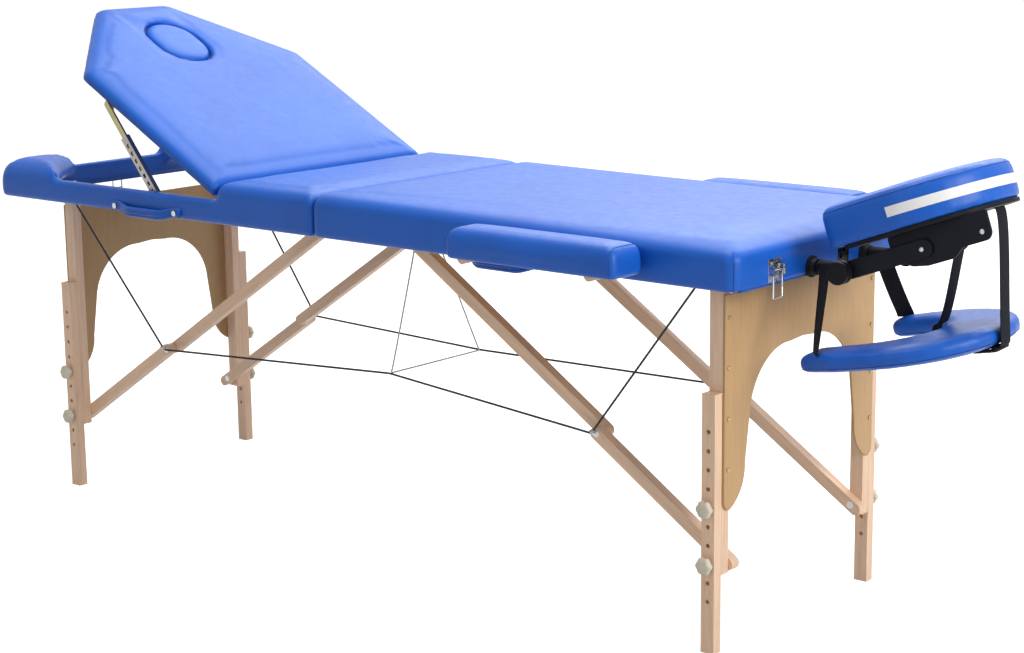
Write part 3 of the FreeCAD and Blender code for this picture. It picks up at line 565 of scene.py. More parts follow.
def drooped(x, y, z):
    """Cover place lowered toward the two outer corners, where the foam is softer."""
    drop = 15.0 * ramp_up(x, 850, 931) * ramp_up(abs(y), 220, 301)
    return x, y, z - drop * ramp_up(z, 655, 702)


def top_free(x, y, z):
    """Cover vinyl is held along the rails and free on the crowned top."""
    return ramp_up(z, 676, 700)


def right_cover():
    bm = bmesh.new()
    outline = rectangle(FOLD_GAP, COVER_X, -COVER_Y, COVER_Y)
    add_loft(bm, outline, [7, 20, 20, 7], cover_levels(TOP - 1), drooped)
    obj = solid("right_cover", bm)
    cut_box(obj, FOLD_WALL, WELL_X, WELL_Y, BELOW_FRAME, DECK_TOP)
    return remeshed(obj, COVER_VOXEL, 0.003, top_free)


def left_cover():
    """Covered rails with the seat cushion and the two corner pads on them."""
    bm = bmesh.new()
    outline = rectangle(-COVER_X, -FOLD_GAP, -COVER_Y, COVER_Y)
    add_loft(bm, outline, [10, 7, 7, 10], [(619.2, 1.6), (621.5, 0.0), (662.8, 0.0), (666.0, 2.5)])
    obj = solid("left_cover", bm)
    cut_box(obj, -WELL_X, -FOLD_WALL, WELL_Y, BELOW_FRAME, TOP - 3)
    pads = bmesh.new()
    pads.from_mesh(obj.data)
    seat = rectangle(BACK_X + 11, -FOLD_GAP, -COVER_Y, COVER_Y)
    add_loft(pads, seat, [12, 7, 7, 12], [(640.0, 5.0), (645.0, 0.0)] + cover_levels(TOP - 1)[2:])
    corner = [(-COVER_X, -COVER_Y), (-733.0, -COVER_Y), (-820.0, -226.0), (-COVER_X, -100.0)]
    radii = [16, 12, 60, 12]
    levels = [
        (650.0, 0.0), (664.0, 0.0), (674.0, 2.5), (683.0, 8.0), (691.0, 16.0), (697.0, 26.0), (701.0, 38.0),
    ]
    add_loft(pads, corner, radii, levels)
    add_loft(pads, [(x, -y) for x, y in reversed(corner)], radii[::-1], levels)
    pads.to_mesh(obj.data)
    pads.free()
    return remeshed(obj, COVER_VOXEL, 0.003, top_free)


def back_place(x, y, z):
    """Flat backrest place leant up, with its hinge end cut upright."""
    limit = BACK_X - 0.5 - math.tan(math.radians(BACK_TILT)) * (z - BACK_Z)
    x, z = turn_y(min(x, limit), z, BACK_X, BACK_Z, BACK_TILT)
    return x, y, z


def back_free(x, y, z):
    """Backrest vinyl is held along its underside and free above it."""
    return ramp_up(turn_y(x, z, BACK_X, BACK_Z, -BACK_TILT)[1], 669, 682)


PLUG_X = BACK_X - 500.0
BACK_HALF = HALF_W - 5.0
BACK_OUTLINE = [
    (BACK_X - 664.0, -92.5), (BACK_X - 432.0, -BACK_HALF), (BACK_X - 4.0, -BACK_HALF),
    (BACK_X - 4.0, BACK_HALF), (BACK_X - 432.0, BACK_HALF), (BACK_X - 664.0, 92.5),
]
BACK_RADII = [32, 32, 10, 10, 32, 32]


def plug_outline(grow):
    return rectangle(PLUG_X - 76 - grow, PLUG_X + 76 + grow, -62 - grow, 62 + grow)


def back_cover():
    bm = bmesh.new()
    levels = [
        (667.4, 3.0), (669.4, 0.3), (679.0, 0.0), (685.0, 2.5), (690.5, 9.0),
        (695.0, 19.0), (698.0, 35.0), (700.0, 66.0), (701.0, 105.0),
    ]
    add_loft(bm, BACK_OUTLINE, BACK_RADII, levels, back_place)
    obj = solid("back_cover", bm)
    hole = bmesh.new()
    add_loft(hole, plug_outline(2.2), [63] * 4, [(640.0, 0.0), (760.0, 0.0)], back_place)
    cut(obj, hole)
    return remeshed(obj, BACK_VOXEL, 0.003, back_free)


def plug_pad():
    bm = bmesh.new()
    levels = [
        (667.0, 5.0), (669.5, 2.5), (690.0, 2.0), (696.5, 3.5), (700.5, 9.0), (702.5, 18.0), (703.3, 36.0),
    ]
    add_loft(bm, plug_outline(0.0), [61] * 4, levels, back_place)
    return remeshed(solid("face_hole_plug_pad", bm), PAD_VOXEL, 0.002, lambda x, y, z: 0.8)


def arm_pad(sign, word):
    bm = bmesh.new()
    low, high = sorted((sign * 313.0, sign * 395.0))
    levels = [
        (636.5, 4.0), (638.5, 0.8), (655.0, 0.0), (669.0, 0.6),
        (679.0, 3.5), (685.5, 8.5), (689.5, 16.0), (691.0, 26.0),
    ]
    add_loft(bm, rectangle(409.0, 765.0, low, high), [11] * 4, levels)
    obj = solid("armrest_" + word + "_cover", bm)
    return remeshed(obj, PAD_VOXEL, 0.0015, lambda x, y, z: ramp_up(z, 643, 658))


def head_place(x, y, z):
    x, z = turn_y(x, z, CRADLE_X, CRADLE_Z, -CRADLE_TILT)
    return x, y, z


HEAD_IN, HEAD_OUT, HEAD_SLOT = CRADLE_X + 11, CRADLE_X + 264, CRADLE_X + 186
HEAD_HALF = 146
HEAD_FOOT = CRADLE_Z + 39.4
HEAD_OUTLINE = [
    (HEAD_IN, -HEAD_HALF), (HEAD_OUT, -HEAD_HALF), (HEAD_OUT, HEAD_HALF), (HEAD_IN, HEAD_HALF),
    (HEAD_IN, 52), (HEAD_SLOT, 52), (HEAD_SLOT, -52), (HEAD_IN, -52),
]
HEAD_RADII = [22, 134, 134, 22, 30, 46, 46, 30]


def face_pad():
    bm = bmesh.new()
    rises = [(0, 5.0), (3, 1.2), (30, 0.4), (52, 1.0), (61, 5.0), (65, 12.0), (66.5, 22.0)]
    levels = [(HEAD_FOOT + rise, inset) for rise, inset in rises]
    add_loft(bm, HEAD_OUTLINE, HEAD_RADII, levels, head_place)
    return remeshed(solid("face_pad_cover", bm), PAD_VOXEL, 0.002, lambda x, y, z: 1.0)


def shelf_place(x, y, z):
    """Level shelf place rolled toward the near side and pitched up at the outer end."""
    roll = math.radians(SHELF_ROLL)
    rise = z - SHELF_Z
    lift = SHELF_Z + y * math.sin(roll) + rise * math.cos(roll)
    x, z = turn_y(x, lift, SHELF_X0, SHELF_Z, -SHELF_PITCH)
    return x, y * math.cos(roll) - rise * math.sin(roll), z


SHELF_X1, SHELF_SLOT = SHELF_X0 + 288, SHELF_X0 + 160
SHELF_OUTLINE = [
    (SHELF_X0 - 10, -152), (SHELF_X0 + 60, -168), (SHELF_X1, -168), (SHELF_X1, 168), (SHELF_X0 + 70, 168),
    (SHELF_X0 + 14, 154), (SHELF_X0 + 14, 96), (SHELF_SLOT, 96), (SHELF_SLOT, -80), (SHELF_X0 - 10, -80),
]
SHELF_RADII = [14, 20, 158, 158, 20, 20, 22, 84, 84, 14]


def shelf_pad():
    bm = bmesh.new()
    levels = [
        (478.5, 14.0), (480.5, 7.0), (486.0, 2.0), (495.0, 0.8),
        (502.0, 2.5), (507.0, 7.0), (509.3, 15.0), (510.0, 22.0),
    ]
    add_loft(bm, SHELF_OUTLINE, SHELF_RADII, levels, shelf_place)
    return remeshed(solid("arm_shelf_cover", bm), PAD_VOXEL, 0.002, lambda x, y, z: 1.0)


RIGHT = right_cover()
LEFT = left_cover()
BACK = back_cover()
PLUG = plug_pad()
ARMS = {word: arm_pad(sign, word) for sign, word in SIDES}
FACE = face_pad()
SHELF = shelf_pad()
swell()


def dress(obj, body, nodes):
    """Vinyl and body of a soft piece, and the nodes that it stands for."""
    coat(obj, "blue_vinyl")
    obj.data.shade_smooth()
    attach(obj, body)
    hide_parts(*nodes)


def bore(obj, points, radius, along):
    """Round holes through a cover."""
    bm = bmesh.new()
    for p in points:
        turn = Vector((0, 0, 1)).rotation_difference(Vector(along)).to_matrix().to_4x4()
        bmesh.ops.create_cone(
            bm, cap_ends=True, segments=28, radius1=radius, radius2=radius, depth=0.06,
            matrix=Matrix.Translation(at(*p)) @ turn,
        )
    cut(obj, bm)


ARM_PEGS = [(x, s * 296, 638.0) for x in (437.0, 706.0) for s in (-1, 1)]
CRADLE_PEGS = [(926.0, s * PEG_Y, CRADLE_Z) for s in (-1, 1)]
cut_box(LEFT, BACK_X - FOLD_WALL, -FOLD_WALL, WELL_Y, BELOW_FRAME, DECK_TOP)
bore(RIGHT, ARM_PEGS, 0.0112, (0, 1, 0))
bore(RIGHT, CRADLE_PEGS, 0.0102, (1, 0, 0))
dress(RIGHT, "right_half", ["right_cushion", "right_side_rails"])
dress(LEFT, "left_half", ["seat_cushion", "corner_pads", "left_side_rails"])
dress(BACK, "backrest", ["backrest_pad", "backrest_board"])
dress(PLUG, "face_hole_plug", ["face_hole_plug"])
for word, obj in ARMS.items():
    dress(obj, "armrest_" + word, ["armrest_" + word + "_pad"])
dress(FACE, "cradle_head", ["face_pad"])
dress(SHELF, "cradle_base", ["arm_shelf"])


# Tubes, cables and cords
def spline_points(points):
    """Points along a smooth spline whose control points are given, in metres."""
    data = bpy.data.curves.new("route", "CURVE")
    data.dimensions = "3D"
    data.resolution_u = 10
    spline = data.splines.new("NURBS")
    spline.points.add(len(points) - 1)
    for target, p in zip(spline.points, points):
        target.co = (*p, 1.0)
    spline.order_u = 3
    spline.use_endpoint_u = True
    obj = bpy.data.objects.new("route", data)
    SCENE.collection.objects.link(obj)
    graph = bpy.context.evaluated_depsgraph_get()
    mesh = bpy.data.meshes.new_from_object(obj.evaluated_get(graph))
    out = [v.co.copy() for v in mesh.vertices]
    bpy.data.objects.remove(obj)
    bpy.data.meshes.remove(mesh)
    return out


def unwrap(bands, uv, shares, runs):
    """UVs by the share round each row and the run along the rows."""
    for k, band in enumerate(bands):
        near, far = runs[k], runs[min(k + 1, len(runs) - 1)]
        for i, face in enumerate(band):
            start, end = shares[i], shares[i + 1]
            for loop, place in zip(face.loops, ((start, near), (end, near), (end, far), (start, far))):
                loop[uv].uv = place


UV_PER_METRE = 10


def add_tube(bm, path, radius, sides=10, closed=False):
    """Round tube along a line of points, with UVs, and with caps unless it closes."""
    uv = bm.loops.layers.uv.verify()
    rows, runs, run = [], [], 0.0
    normal = None
    count = len(path)
    spins = [2 * math.pi * k / sides for k in range(sides)]
    for i, p in enumerate(path):
        ahead = path[(i + 1) % count] if closed or i < count - 1 else path[i]
        behind = path[i - 1] if closed or i > 0 else path[i]
        along = (ahead - behind).normalized()
        if normal is None:
            normal = along.orthogonal().normalized()
        normal = (normal - along * normal.dot(along)).normalized()
        side = along.cross(normal)
        rows.append([bm.verts.new(p + radius * (normal * math.cos(a) + side * math.sin(a))) for a in spins])
        run += (p - path[i - 1]).length if i else 0.0
        runs.append(run * UV_PER_METRE)
    unwrap(stitch(bm, rows, closed), uv, [k / sides for k in range(sides + 1)], runs)


def brace(name, route, radius, material, body, nodes=()):
    """A taut cable or cord as a round tube along a smooth route."""
    path = spline_points(route)
    bm = bmesh.new()
    add_tube(bm, path, radius)
    obj = piece(name, bm, material, body, nodes)
    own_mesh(obj)


def knee(side):
    a = math.radians(STRUT_ANGLE)
    return STRUT_PIVOT[side] + side * UPPER_STRUT * math.cos(a), STRUT_Z - UPPER_STRUT * math.sin(a)


CABLE_R = 0.0021
CORD_R = 0.0016
MID_X = (knee(-1)[0] + knee(1)[0]) / 2
TIE_Z = 338


def near_end(a, b, distance=0.02):
    """Route between two hooks with a point near each."""
    step = (b - a).normalized() * distance
    return [a, a + step, b - step, b]


def cable_top(side, sign):
    """Where an end cable leaves its loop on a leg's bolt."""
    return at(LEG_X[side] - side * 22, sign * LEG_BOLT_Y, 626)


def add_cables():
    for side, half in HALVES:
        kx, kz = knee(side)
        for sign, word in SIDES:
            foot = at(kx + side * 2, sign * EYE_Y, kz + 8)
            brace(
                half + "_end_cable_" + word, near_end(cable_top(side, sign), foot), CABLE_R, "cable_cover",
                half + "_half", ["cables"],
            )
            start = at(kx - side * 6, sign * EYE_Y, kz + 2)
            middle = at(MID_X, sign * 132, TIE_Z)
            brace(
                half + "_centre_cable_" + word, near_end(start, middle), CABLE_R, "cable_cover",
                half + "_half",
            )
    route = [
        at(2, -14, 616), at(MID_X - 0.6, -120, 352), at(MID_X, -128.5, TIE_Z), at(MID_X, -116, TIE_Z),
        at(MID_X, 116, TIE_Z), at(MID_X, 128.5, TIE_Z), at(MID_X - 0.6, 120, 352), at(2, 14, 616),
    ]
    brace(
        "centre_tie_cord", route, CORD_R, "white_cord", "left_half",
        ["centre_cord"],
    )


add_cables()


# Handles, straps, seams, boards and small hardware
HANDLE_X, HANDLE_Y, HANDLE_Z = 361, -301.0, 632
HANDLE_LENGTH = 202
HANDLE_STEPS = 60
HANDLE_FACE = 16


def add_handle(half, side, bow, sag):
    """Ribbed strap handle screwed to the near rail at both ends."""
    bm = bmesh.new()
    rows = []
    for k in range(HANDLE_STEPS + 1):
        share = k / HANDLE_STEPS
        near = min(share, 1 - share)
        x = side * (HANDLE_X + HANDLE_LENGTH * share)
        y = HANDLE_Y - bow * ramp_up(near, 0.10, 0.32)
        z = HANDLE_Z - sag * ramp_up(near, 0.06, 0.30)
        ribs = ramp_up(near, 0.09, 0.16)
        round_end = math.sqrt(max(0.0, 1 - (1 - min(1.0, near / 0.03)) ** 2))
        half_height = 10.0 * (0.45 + 0.55 * round_end)
        row = [at(x, y, z - half_height), at(x, y, z + half_height)]
        for j in range(HANDLE_FACE + 1):
            w = 1 - 2 * j / HANDLE_FACE
            ridge = abs(math.sin(1.5 * math.pi * (w + 1))) ** 0.6
            out = 4.2 + ribs * 2.4 * ridge + (1 - ribs) * 1.4 * (1 - w ** 4)
            out *= 1 - 0.55 * abs(w) ** 6
            row.append(at(x, y - out, z + half_height * w))
        rows.append([bm.verts.new(p) for p in row])
    stitch(bm, rows)
    name = half + "_carry_handle"
    obj = piece(name, bm, "handle_vinyl", half + "_half", [half + "_handle"], 60)
    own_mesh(obj)


add_handle("left", -1, 10.0, 7.0)
add_handle("right", 1, 20.0, 11.0)


STRAP_WIDTH = 0.031
STRAP_THICK = 0.0016
STRAP_EDGE = [
    (-0.5, -0.25), (-0.46, -0.5), (0.46, -0.5), (0.5, -0.25),
    (0.5, 0.25), (0.46, 0.5), (-0.46, 0.5), (-0.5, 0.25),
]
STRAP_SHARES = [0.0, 0.03, 0.97, 1.0, 1.0, 0.97, 0.03, 0.0, 0.0]


def add_strip(bm, path, wide):
    """Flat webbing along a line of points; wide gives the width direction at each point."""
    uv = bm.loops.layers.uv.verify()
    rows, runs, run = [], [], 0.0
    for i, p in enumerate(path):
        along = (path[min(i + 1, len(path) - 1)] - path[max(i - 1, 0)]).normalized()
        across = (wide[i] - along * wide[i].dot(along)).normalized()
        up = along.cross(across)
        run += (p - path[i - 1]).length if i else 0.0
        runs.append(run / STRAP_WIDTH)
        edge = [p + across * (a * STRAP_WIDTH) + up * (b * STRAP_THICK) for a, b in STRAP_EDGE]
        rows.append([bm.verts.new(place) for place in edge])
    unwrap(stitch(bm, rows), uv, STRAP_SHARES, runs)


def turned_widths(path, first, last):
    """Width directions that swing evenly from the first to the last along a strap."""
    count = len(path) - 1
    return [first.slerp(last, i / count) for i in range(count + 1)]


def add_front_strap(sign, word, last):
    """Strap looped over a peg and sewn to a tip of the shelf."""
    peg = sign * PEG_Y
    x = 962
    foot = Vector(shelf_place(980, sign * 145, 510.0))
    below_peg = Vector((x, peg + sign * 14, 610))
    route = [
        at(x, peg - sign * 8, 627), at(x, peg - sign * 12, 634), at(x, peg - sign * 11, 645),
        at(x, peg + sign * 11, 645), at(x, peg + sign * 12, 634), at(x + 1, peg + sign * 11, 622),
        at(*(below_peg * 0.4 + foot * 0.6)), at(*foot), at(foot.x, foot.y + sign * 1, foot.z - 4),
    ]
    path = spline_points(route)
    bm = bmesh.new()
    add_strip(bm, path, turned_widths(path, Vector((1, 0, 0)), last))
    piece("front_strap_" + word, bm, "webbing", "cradle_base", ["shelf_straps"], 30)


def under_platform(u):
    """Place just below the tilted platform by its reach from the tilt axle."""
    x, z = turn_y(CRADLE_X + u, CRADLE_Z + 30.5, CRADLE_X, CRADLE_Z, -CRADLE_TILT)
    return at(x, STRAP_Y, z)


def add_loop_strap():
    """Strap from the platform down round the middle of the shelf and up again."""
    inner = [(1131, 515.5), (1114, 514), (1110.5, 498), (1110.5, 480), (1117, 474.5)]
    outer = [(1236, 474.5), (1245.5, 478), (1247.5, 500)]
    route = [under_platform(204), under_platform(192)]
    route += [at(*shelf_place(x, STRAP_Y + STRAP_SLANT, z)) for x, z in inner]
    route += [at(*shelf_place(x, STRAP_Y, z)) for x, z in outer]
    route += [under_platform(262), under_platform(252)]
    path = spline_points(route)
    bm = bmesh.new()
    add_strip(bm, path, [Vector((0, 1, 0))] * len(path))
    obj = piece("loop_strap", bm, "webbing", None, ["shelf_straps"], 30)
    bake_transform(obj)


def add_buckle():
    """Ladder buckle on the loop strap under the shelf's outer end."""
    bm = bmesh.new()
    outline = ring(rectangle(1196, 1238, STRAP_Y - 21, STRAP_Y + 21), [5] * 4, 0.0, 4)
    add_tube(bm, [at(*shelf_place(x, y, 473.0)) for x, y in outline], 0.0028, 8, True)
    for x in (1209, 1225):
        bar = [at(*shelf_place(x, STRAP_Y + k, 472.0)) for k in (-20, -7, 7, 20)]
        add_tube(bm, bar, 0.0026, 8)
    piece("strap_buckle", bm, "black_plastic", "cradle_base")


add_front_strap(-1, "near", Vector((0.66, -0.75, 0.0)))
add_front_strap(1, "far", Vector((0.97, 0.24, 0.0)))
add_loop_strap()
add_buckle()


def surface(obj):
    """Search tree of a finished piece's surface."""
    mesh = obj.data
    return BVHTree.FromPolygons([v.co.copy() for v in mesh.vertices], [p.vertices[:] for p in mesh.polygons])


def laid_on(tree, places, lift):
    """Places moved onto a surface and lifted a little off it."""
    out = []
    for p in places:
        spot, normal, _, _ = tree.find_nearest(p)
        out.append(spot + normal * lift)
    for _ in range(2):
        middle = [(a + b * 2 + c) / 4 for a, b, c in zip(out, out[1:], out[2:])]
        out = [out[0]] + middle + [out[-1]]
    return out


def divided(points, step=6.0):
    """Places a few millimetres apart along straight runs between points."""
    out = [Vector(points[0])]
    for a, b in zip(points, points[1:]):
        a, b = Vector(a), Vector(b)
        count = max(1, round((b - a).length / step))
        out += [a.lerp(b, (i + 1) / count) for i in range(count)]
    return out


def add_seams(name, target, body, lines, radius=0.0008):
    """Seam threads or welts along lines that lie on a soft piece."""
    tree = surface(target)
    bm = bmesh.new()
    for line in lines:
        add_tube(bm, laid_on(tree, [at(*p) for p in divided(line)], radius * 0.2), radius, 6)
    piece(name, bm, "seam", body)


HINGE_CORNER = 3 * (CORNER_STEPS + 1)


def add_all_seams():
    corners = [[(928, s * 298, 622), (928, s * 298, 668), (920, s * 290, 690)] for s in (-1, 1)]
    add_seams("right_cover_seams", RIGHT, "right_half", corners)
    corners = [[(-928, s * 298, 622), (-928, s * 298, 680), (-918, s * 288, 698)] for s in (-1, 1)]
    add_seams("left_cover_seams", LEFT, "left_half", corners)
    section = [(396, 643), (396, 682), (389, 692), (319, 692), (312, 682), (312, 643)]
    for sign, word in SIDES:
        lines = [[(x, sign * y, z) for y, z in section] for x in (417.0, 757.0)]
        add_seams("armrest_" + word + "_seams", ARMS[word], "armrest_" + word, lines)
    rim = ring(BACK_OUTLINE, BACK_RADII, 0.0)
    rim = rim[HINGE_CORNER:] + rim[:HINGE_CORNER]
    lines = [[back_place(x, y, z) for x, y in rim] for z in (671.0, 681.0)]
    add_seams("backrest_seams", BACK, "backrest", lines, 0.0011)
    line = [head_place(x, y, HEAD_FOOT + 58) for x, y in ring(HEAD_OUTLINE, HEAD_RADII, 2.0)]
    add_seams("face_pad_seams", FACE, "cradle_head", [line], 0.0009)
    line = [shelf_place(x, y, 484.5) for x, y in ring(SHELF_OUTLINE, SHELF_RADII, 2.0)]
    add_seams("arm_shelf_seams", SHELF, "cradle_base", [line], 0.0009)


add_all_seams()


BAND_STEPS = 14
BAND_X = CRADLE_X + 136


def add_band():
    """White band round the outer wall of the face pad."""
    tree = surface(FACE)
    corner = BAND_STEPS + 1
    outline = ring(HEAD_OUTLINE, HEAD_RADII, 0.0, BAND_STEPS)
    arc = [(p.x, p.y, 0) for p in outline[corner:3 * corner] if p.x > BAND_X + 2]
    line = divided([(BAND_X, -HEAD_HALF, 0)] + arc + [(BAND_X, HEAD_HALF, 0)])
    foot = CRADLE_Z + 39
    rows = []
    for height in (22, 24, 28, 32, 36, 38):
        rows.append(laid_on(tree, [at(*head_place(p.x, p.y, foot + height)) for p in line], 0.0))
    bm = bmesh.new()
    middle = at(*head_place(CRADLE_X + 130, 0, foot + 30))
    grids = []
    for lift in (0.0009, -0.0012):
        grid = []
        for row in rows:
            grid.append([bm.verts.new(p + (p - middle).normalized() * lift) for p in row])
        grids.append(grid)
    outer, inner = grids
    high, wide = len(rows), len(line)
    for i in range(high - 1):
        for j in range(wide - 1):
            bm.faces.new((outer[i][j], outer[i][j + 1], outer[i + 1][j + 1], outer[i + 1][j]))
            bm.faces.new((inner[i + 1][j], inner[i + 1][j + 1], inner[i][j + 1], inner[i][j]))
    for j in range(wide - 1):
        bm.faces.new((inner[0][j], inner[0][j + 1], outer[0][j + 1], outer[0][j]))
        bm.faces.new((outer[-1][j], outer[-1][j + 1], inner[-1][j + 1], inner[-1][j]))
    for i in range(high - 1):
        bm.faces.new((outer[i][0], outer[i + 1][0], inner[i + 1][0], inner[i][0]))
        bm.faces.new((inner[i][-1], inner[i + 1][-1], outer[i + 1][-1], outer[i][-1]))
    piece("face_pad_band", bm, "white_band", "cradle_head", crease=60)


add_band()


def circle(centre, axis, radius, steps=20):
    """Points of a circle about an axis."""
    turn = Vector((0, 0, 1)).rotation_difference(Vector(axis)).to_matrix()
    spins = [2 * math.pi * k / steps for k in range(steps)]
    return [centre + turn @ Vector((radius * math.cos(a), radius * math.sin(a), 0)) for a in spins]


def add_eyes():
    """Screw eyes at the strut joints and cable loops round the leg bolts."""
    for side, half in HALVES:
        kx, kz = knee(side)
        loops = bmesh.new()
        for sign, word in SIDES:
            eye = bmesh.new()
            centre = at(kx, sign * EYE_Y, kz + 5)
            add_tube(eye, circle(centre, (0.3, 0, 1), 0.0052), 0.0011, 8, True)
            add_tube(eye, [at(kx, sign * 200, kz + 5), at(kx, sign * 211.6, kz + 5)], 0.0013, 8)
            obj = piece(half + "_screw_eye_" + word, eye, "steel", half + "_lower_struts")
            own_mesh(obj)
            bolt = at(LEG_X[side], sign * LEG_BOLT_Y, 638)
            add_tube(loops, circle(bolt, (0, 1, 0), 0.0108), 0.0014, 8, True)
            away = (cable_top(side, sign) - bolt).normalized()
            add_tube(loops, [bolt + away * 0.0112, bolt + away * 0.0255], 0.0028, 10)
        piece(half + "_cable_loops", loops, "steel", half + "_half")


add_eyes()


def add_deck(name, x0, x1, body, node):
    """Deck board set in from the vinyl that wraps its edges."""
    bm = bmesh.new()
    levels = [(665.0, 0.8), (665.8, 0.0), (669.2, 0.0), (670.0, 0.8)]
    add_loft(bm, rectangle(x0 + 5, x1 - 5, -HALF_W + 5, HALF_W - 5), [12] * 4, levels)
    piece(name, bm, "deck", body, [node], 30)


add_deck("seat_deck_board", BACK_X + 11, -1.0, "left_half", "seat_deck")
add_deck("right_deck_board", 1.0, HALF_LENGTH, "right_half", "right_deck")


FLAP_STEPS = 24
FLAP_HALF = 286


def add_hinge_flap():
    """Vinyl strip that closes the slot between the seat and the backrest."""
    line = [(BACK_X + 17, 674.5), (BACK_X + 12, 672.0), (BACK_X + 6, 670.0), (BACK_X + 1, 669.3)]
    for u, z in ((-4, 669.5), (-10, 670.5), (-17, 672.5)):
        line.append(turn_y(BACK_X + u, z, BACK_X, BACK_Z, BACK_TILT))
    bm = bmesh.new()
    rows = []
    for k in range(FLAP_STEPS + 1):
        y = -FLAP_HALF + 2 * FLAP_HALF * k / FLAP_STEPS
        row = [at(x, y, z + 0.8) for x, z in line] + [at(x, y, z - 0.8) for x, z in reversed(line)]
        rows.append([bm.verts.new(p) for p in row])
    stitch(bm, rows)
    obj = piece("backrest_hinge_flap", bm, "covered_rail", None, crease=60)
    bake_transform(obj)


add_hinge_flap()


def add_panel(half):
    """End panel whose top edge stops a little below the frame."""
    bm = bmesh.new()
    bm.from_mesh(NODES[half + "_end_panel"].data)
    bmesh.ops.remove_doubles(bm, verts=bm.verts, dist=0.00001)
    name = half + "_arch_panel"
    obj = piece(name, bm, "panel", half + "_legs", [half + "_end_panel"], 30)
    cut_box(obj, -HALF_LENGTH, HALF_LENGTH, HALF_W, PANEL_TOP, PANEL_TOP + 80)
    soften(obj, 0.0009, 2)


def plate_place(u, v, y):
    """Place on a cradle plate by its reach and rise from the tilt axle."""
    return head_place(CRADLE_X + u, y, CRADLE_Z + v)


def add_plate(bm, points, radii, y0, y1):
    """Upright plate with eased edges, part of the tilting head."""
    add_loft(bm, points, radii, [(y0, 0.7), (y0 + 0.7, 0.0), (y1 - 0.7, 0.0), (y1, 0.7)], plate_place)


def add_cradle_plates():
    """Side plates under the platform, long with the lock on the near side and short on the far side."""
    bm = bmesh.new()
    near = [(92, 8), (120, -22), (150, -28), (198, -28), (216, -15), (271, -15), (272, 32), (92, 32)]
    far = [(62, 8), (76, -18), (96, -22), (126, -16), (128, 32), (62, 32)]
    add_plate(bm, rectangle(-17, 167, -15, 15), [14.9] * 4, -96.5, -91.6)
    add_plate(bm, near, [6, 16, 16, 22, 16, 14, 3, 3], -91.5, -86.5)
    add_plate(bm, rectangle(-17, 112, -15, 15), [14.9] * 4, 91.6, 96.5)
    add_plate(bm, far, [6, 12, 12, 14, 3, 3], 86.5, 91.5)
    piece("cradle_side_plates", bm, "black_metal", "cradle_head", ["cradle_arms"], 30)
    bolts = bmesh.new()
    for u, face in ((149, -96.5), (256, -91.5), (97, 96.5)):
        out = math.copysign(1.0, face)
        head = rectangle(u - 4.2, u + 4.2, -4.2, 4.2)
        levels = [(face, 0.0), (face + 1.2 * out, 0.0), (face + 2.0 * out, 1.0), (face + 2.5 * out, 2.2)]
        add_loft(bolts, head, [4.1] * 4, levels, plate_place)
    piece("cradle_plate_bolts", bolts, "steel", "cradle_head")


add_cradle_plates()


KNOB_LOBES = 6
KNOB_SIDES = 72
KNOB_RINGS = [
    (0.0, 7.0, 0.1), (0.3, 11.0, 0.4), (1.4, 13.2, 0.7), (3.6, 14.5, 0.9), (8.2, 14.5, 0.9),
    (10.4, 13.4, 0.7), (11.4, 11.0, 0.3), (11.5, 7.5, 0.0), (16.2, 7.5, 0.0), (16.3, 3.4, 0.0),
    (45.5, 3.4, 0.0),
]


def add_knobs(node):
    """Round knobs with shallow lobes, a neck and a bolt, on both legs of a pair."""
    low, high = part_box(node)
    x, z = (low.x + high.x) / 2, (low.z + high.z) / 2
    bm = bmesh.new()
    for face, inward in ((low.y, 0.001), (high.y, -0.001)):
        rows = []
        for depth, radius, lobe in KNOB_RINGS:
            row = []
            for k in range(KNOB_SIDES):
                a = 2 * math.pi * k / KNOB_SIDES
                r = (radius + lobe * math.cos(KNOB_LOBES * a)) / 1000
                place = (x + r * math.cos(a), face + depth * inward, z + r * math.sin(a))
                row.append(bm.verts.new(place))
            rows.append(row)
        stitch(bm, rows)
    piece(node + "_moulded", bm, "ivory_plastic", node, [node], 45)


# Looks of the solids that stay
def refine(node, material, width, segments=2):
    """Material and softened edges on a CAD node."""
    obj = NODES[node]
    coat(obj, material)
    soften(obj, width, segments)


def soften(obj, width, segments):
    """Flat faces joined up and edges rounded."""
    weld = obj.modifiers.new("weld", "WELD")
    weld.merge_threshold = 0.00001
    flat = obj.modifiers.new("flat", "DECIMATE")
    flat.decimate_type = "DISSOLVE"
    flat.angle_limit = math.radians(1.0)
    if width:
        bevel = obj.modifiers.new("edges", "BEVEL")
        bevel.limit_method = "ANGLE"
        bevel.angle_limit = math.radians(40)
        bevel.width = width
        bevel.segments = segments
        bevel.use_clamp_overlap = True


for side, half in HALVES:
    refine(half + "_legs", "upright", 0.003, 3)
    refine(half + "_extension_near", "upright", 0.003, 3)
    refine(half + "_extension_far", "upright", 0.003, 3)
    refine(half + "_upper_struts", "strut_" + half, 0.0022)
    refine(half + "_lower_struts", "strut_" + half, 0.0022)
    add_panel(half)
    add_knobs(half + "_upper_knobs")
    add_knobs(half + "_lower_knobs")
    refine(half + "_panel_screws", "brass", 0.0008)
    refine(half + "_pivot_bolts", "steel", 0.0006)
    refine(half + "_strut_bolts", "steel", 0.0008)
    refine(half + "_fittings", "end_fittings" if side > 0 else "chrome", 0.0006)
    refine(half + "_latch_loop", "chrome", 0)
    refine(half + "_hinge_leaves", "steel", 0.0003)
    refine(half + "_cross_rails", "covered_rail", 0.0012)
refine("fold_pins", "steel", 0)
refine("backrest_brackets", "steel", 0.0004)
refine("support_channels", "support_steel", 0.0003)
refine("support_bars", "zinc_steel", 0.0008)
refine("armrest_near_frame", "along", 0.0014)
refine("armrest_far_frame", "along", 0.0014)
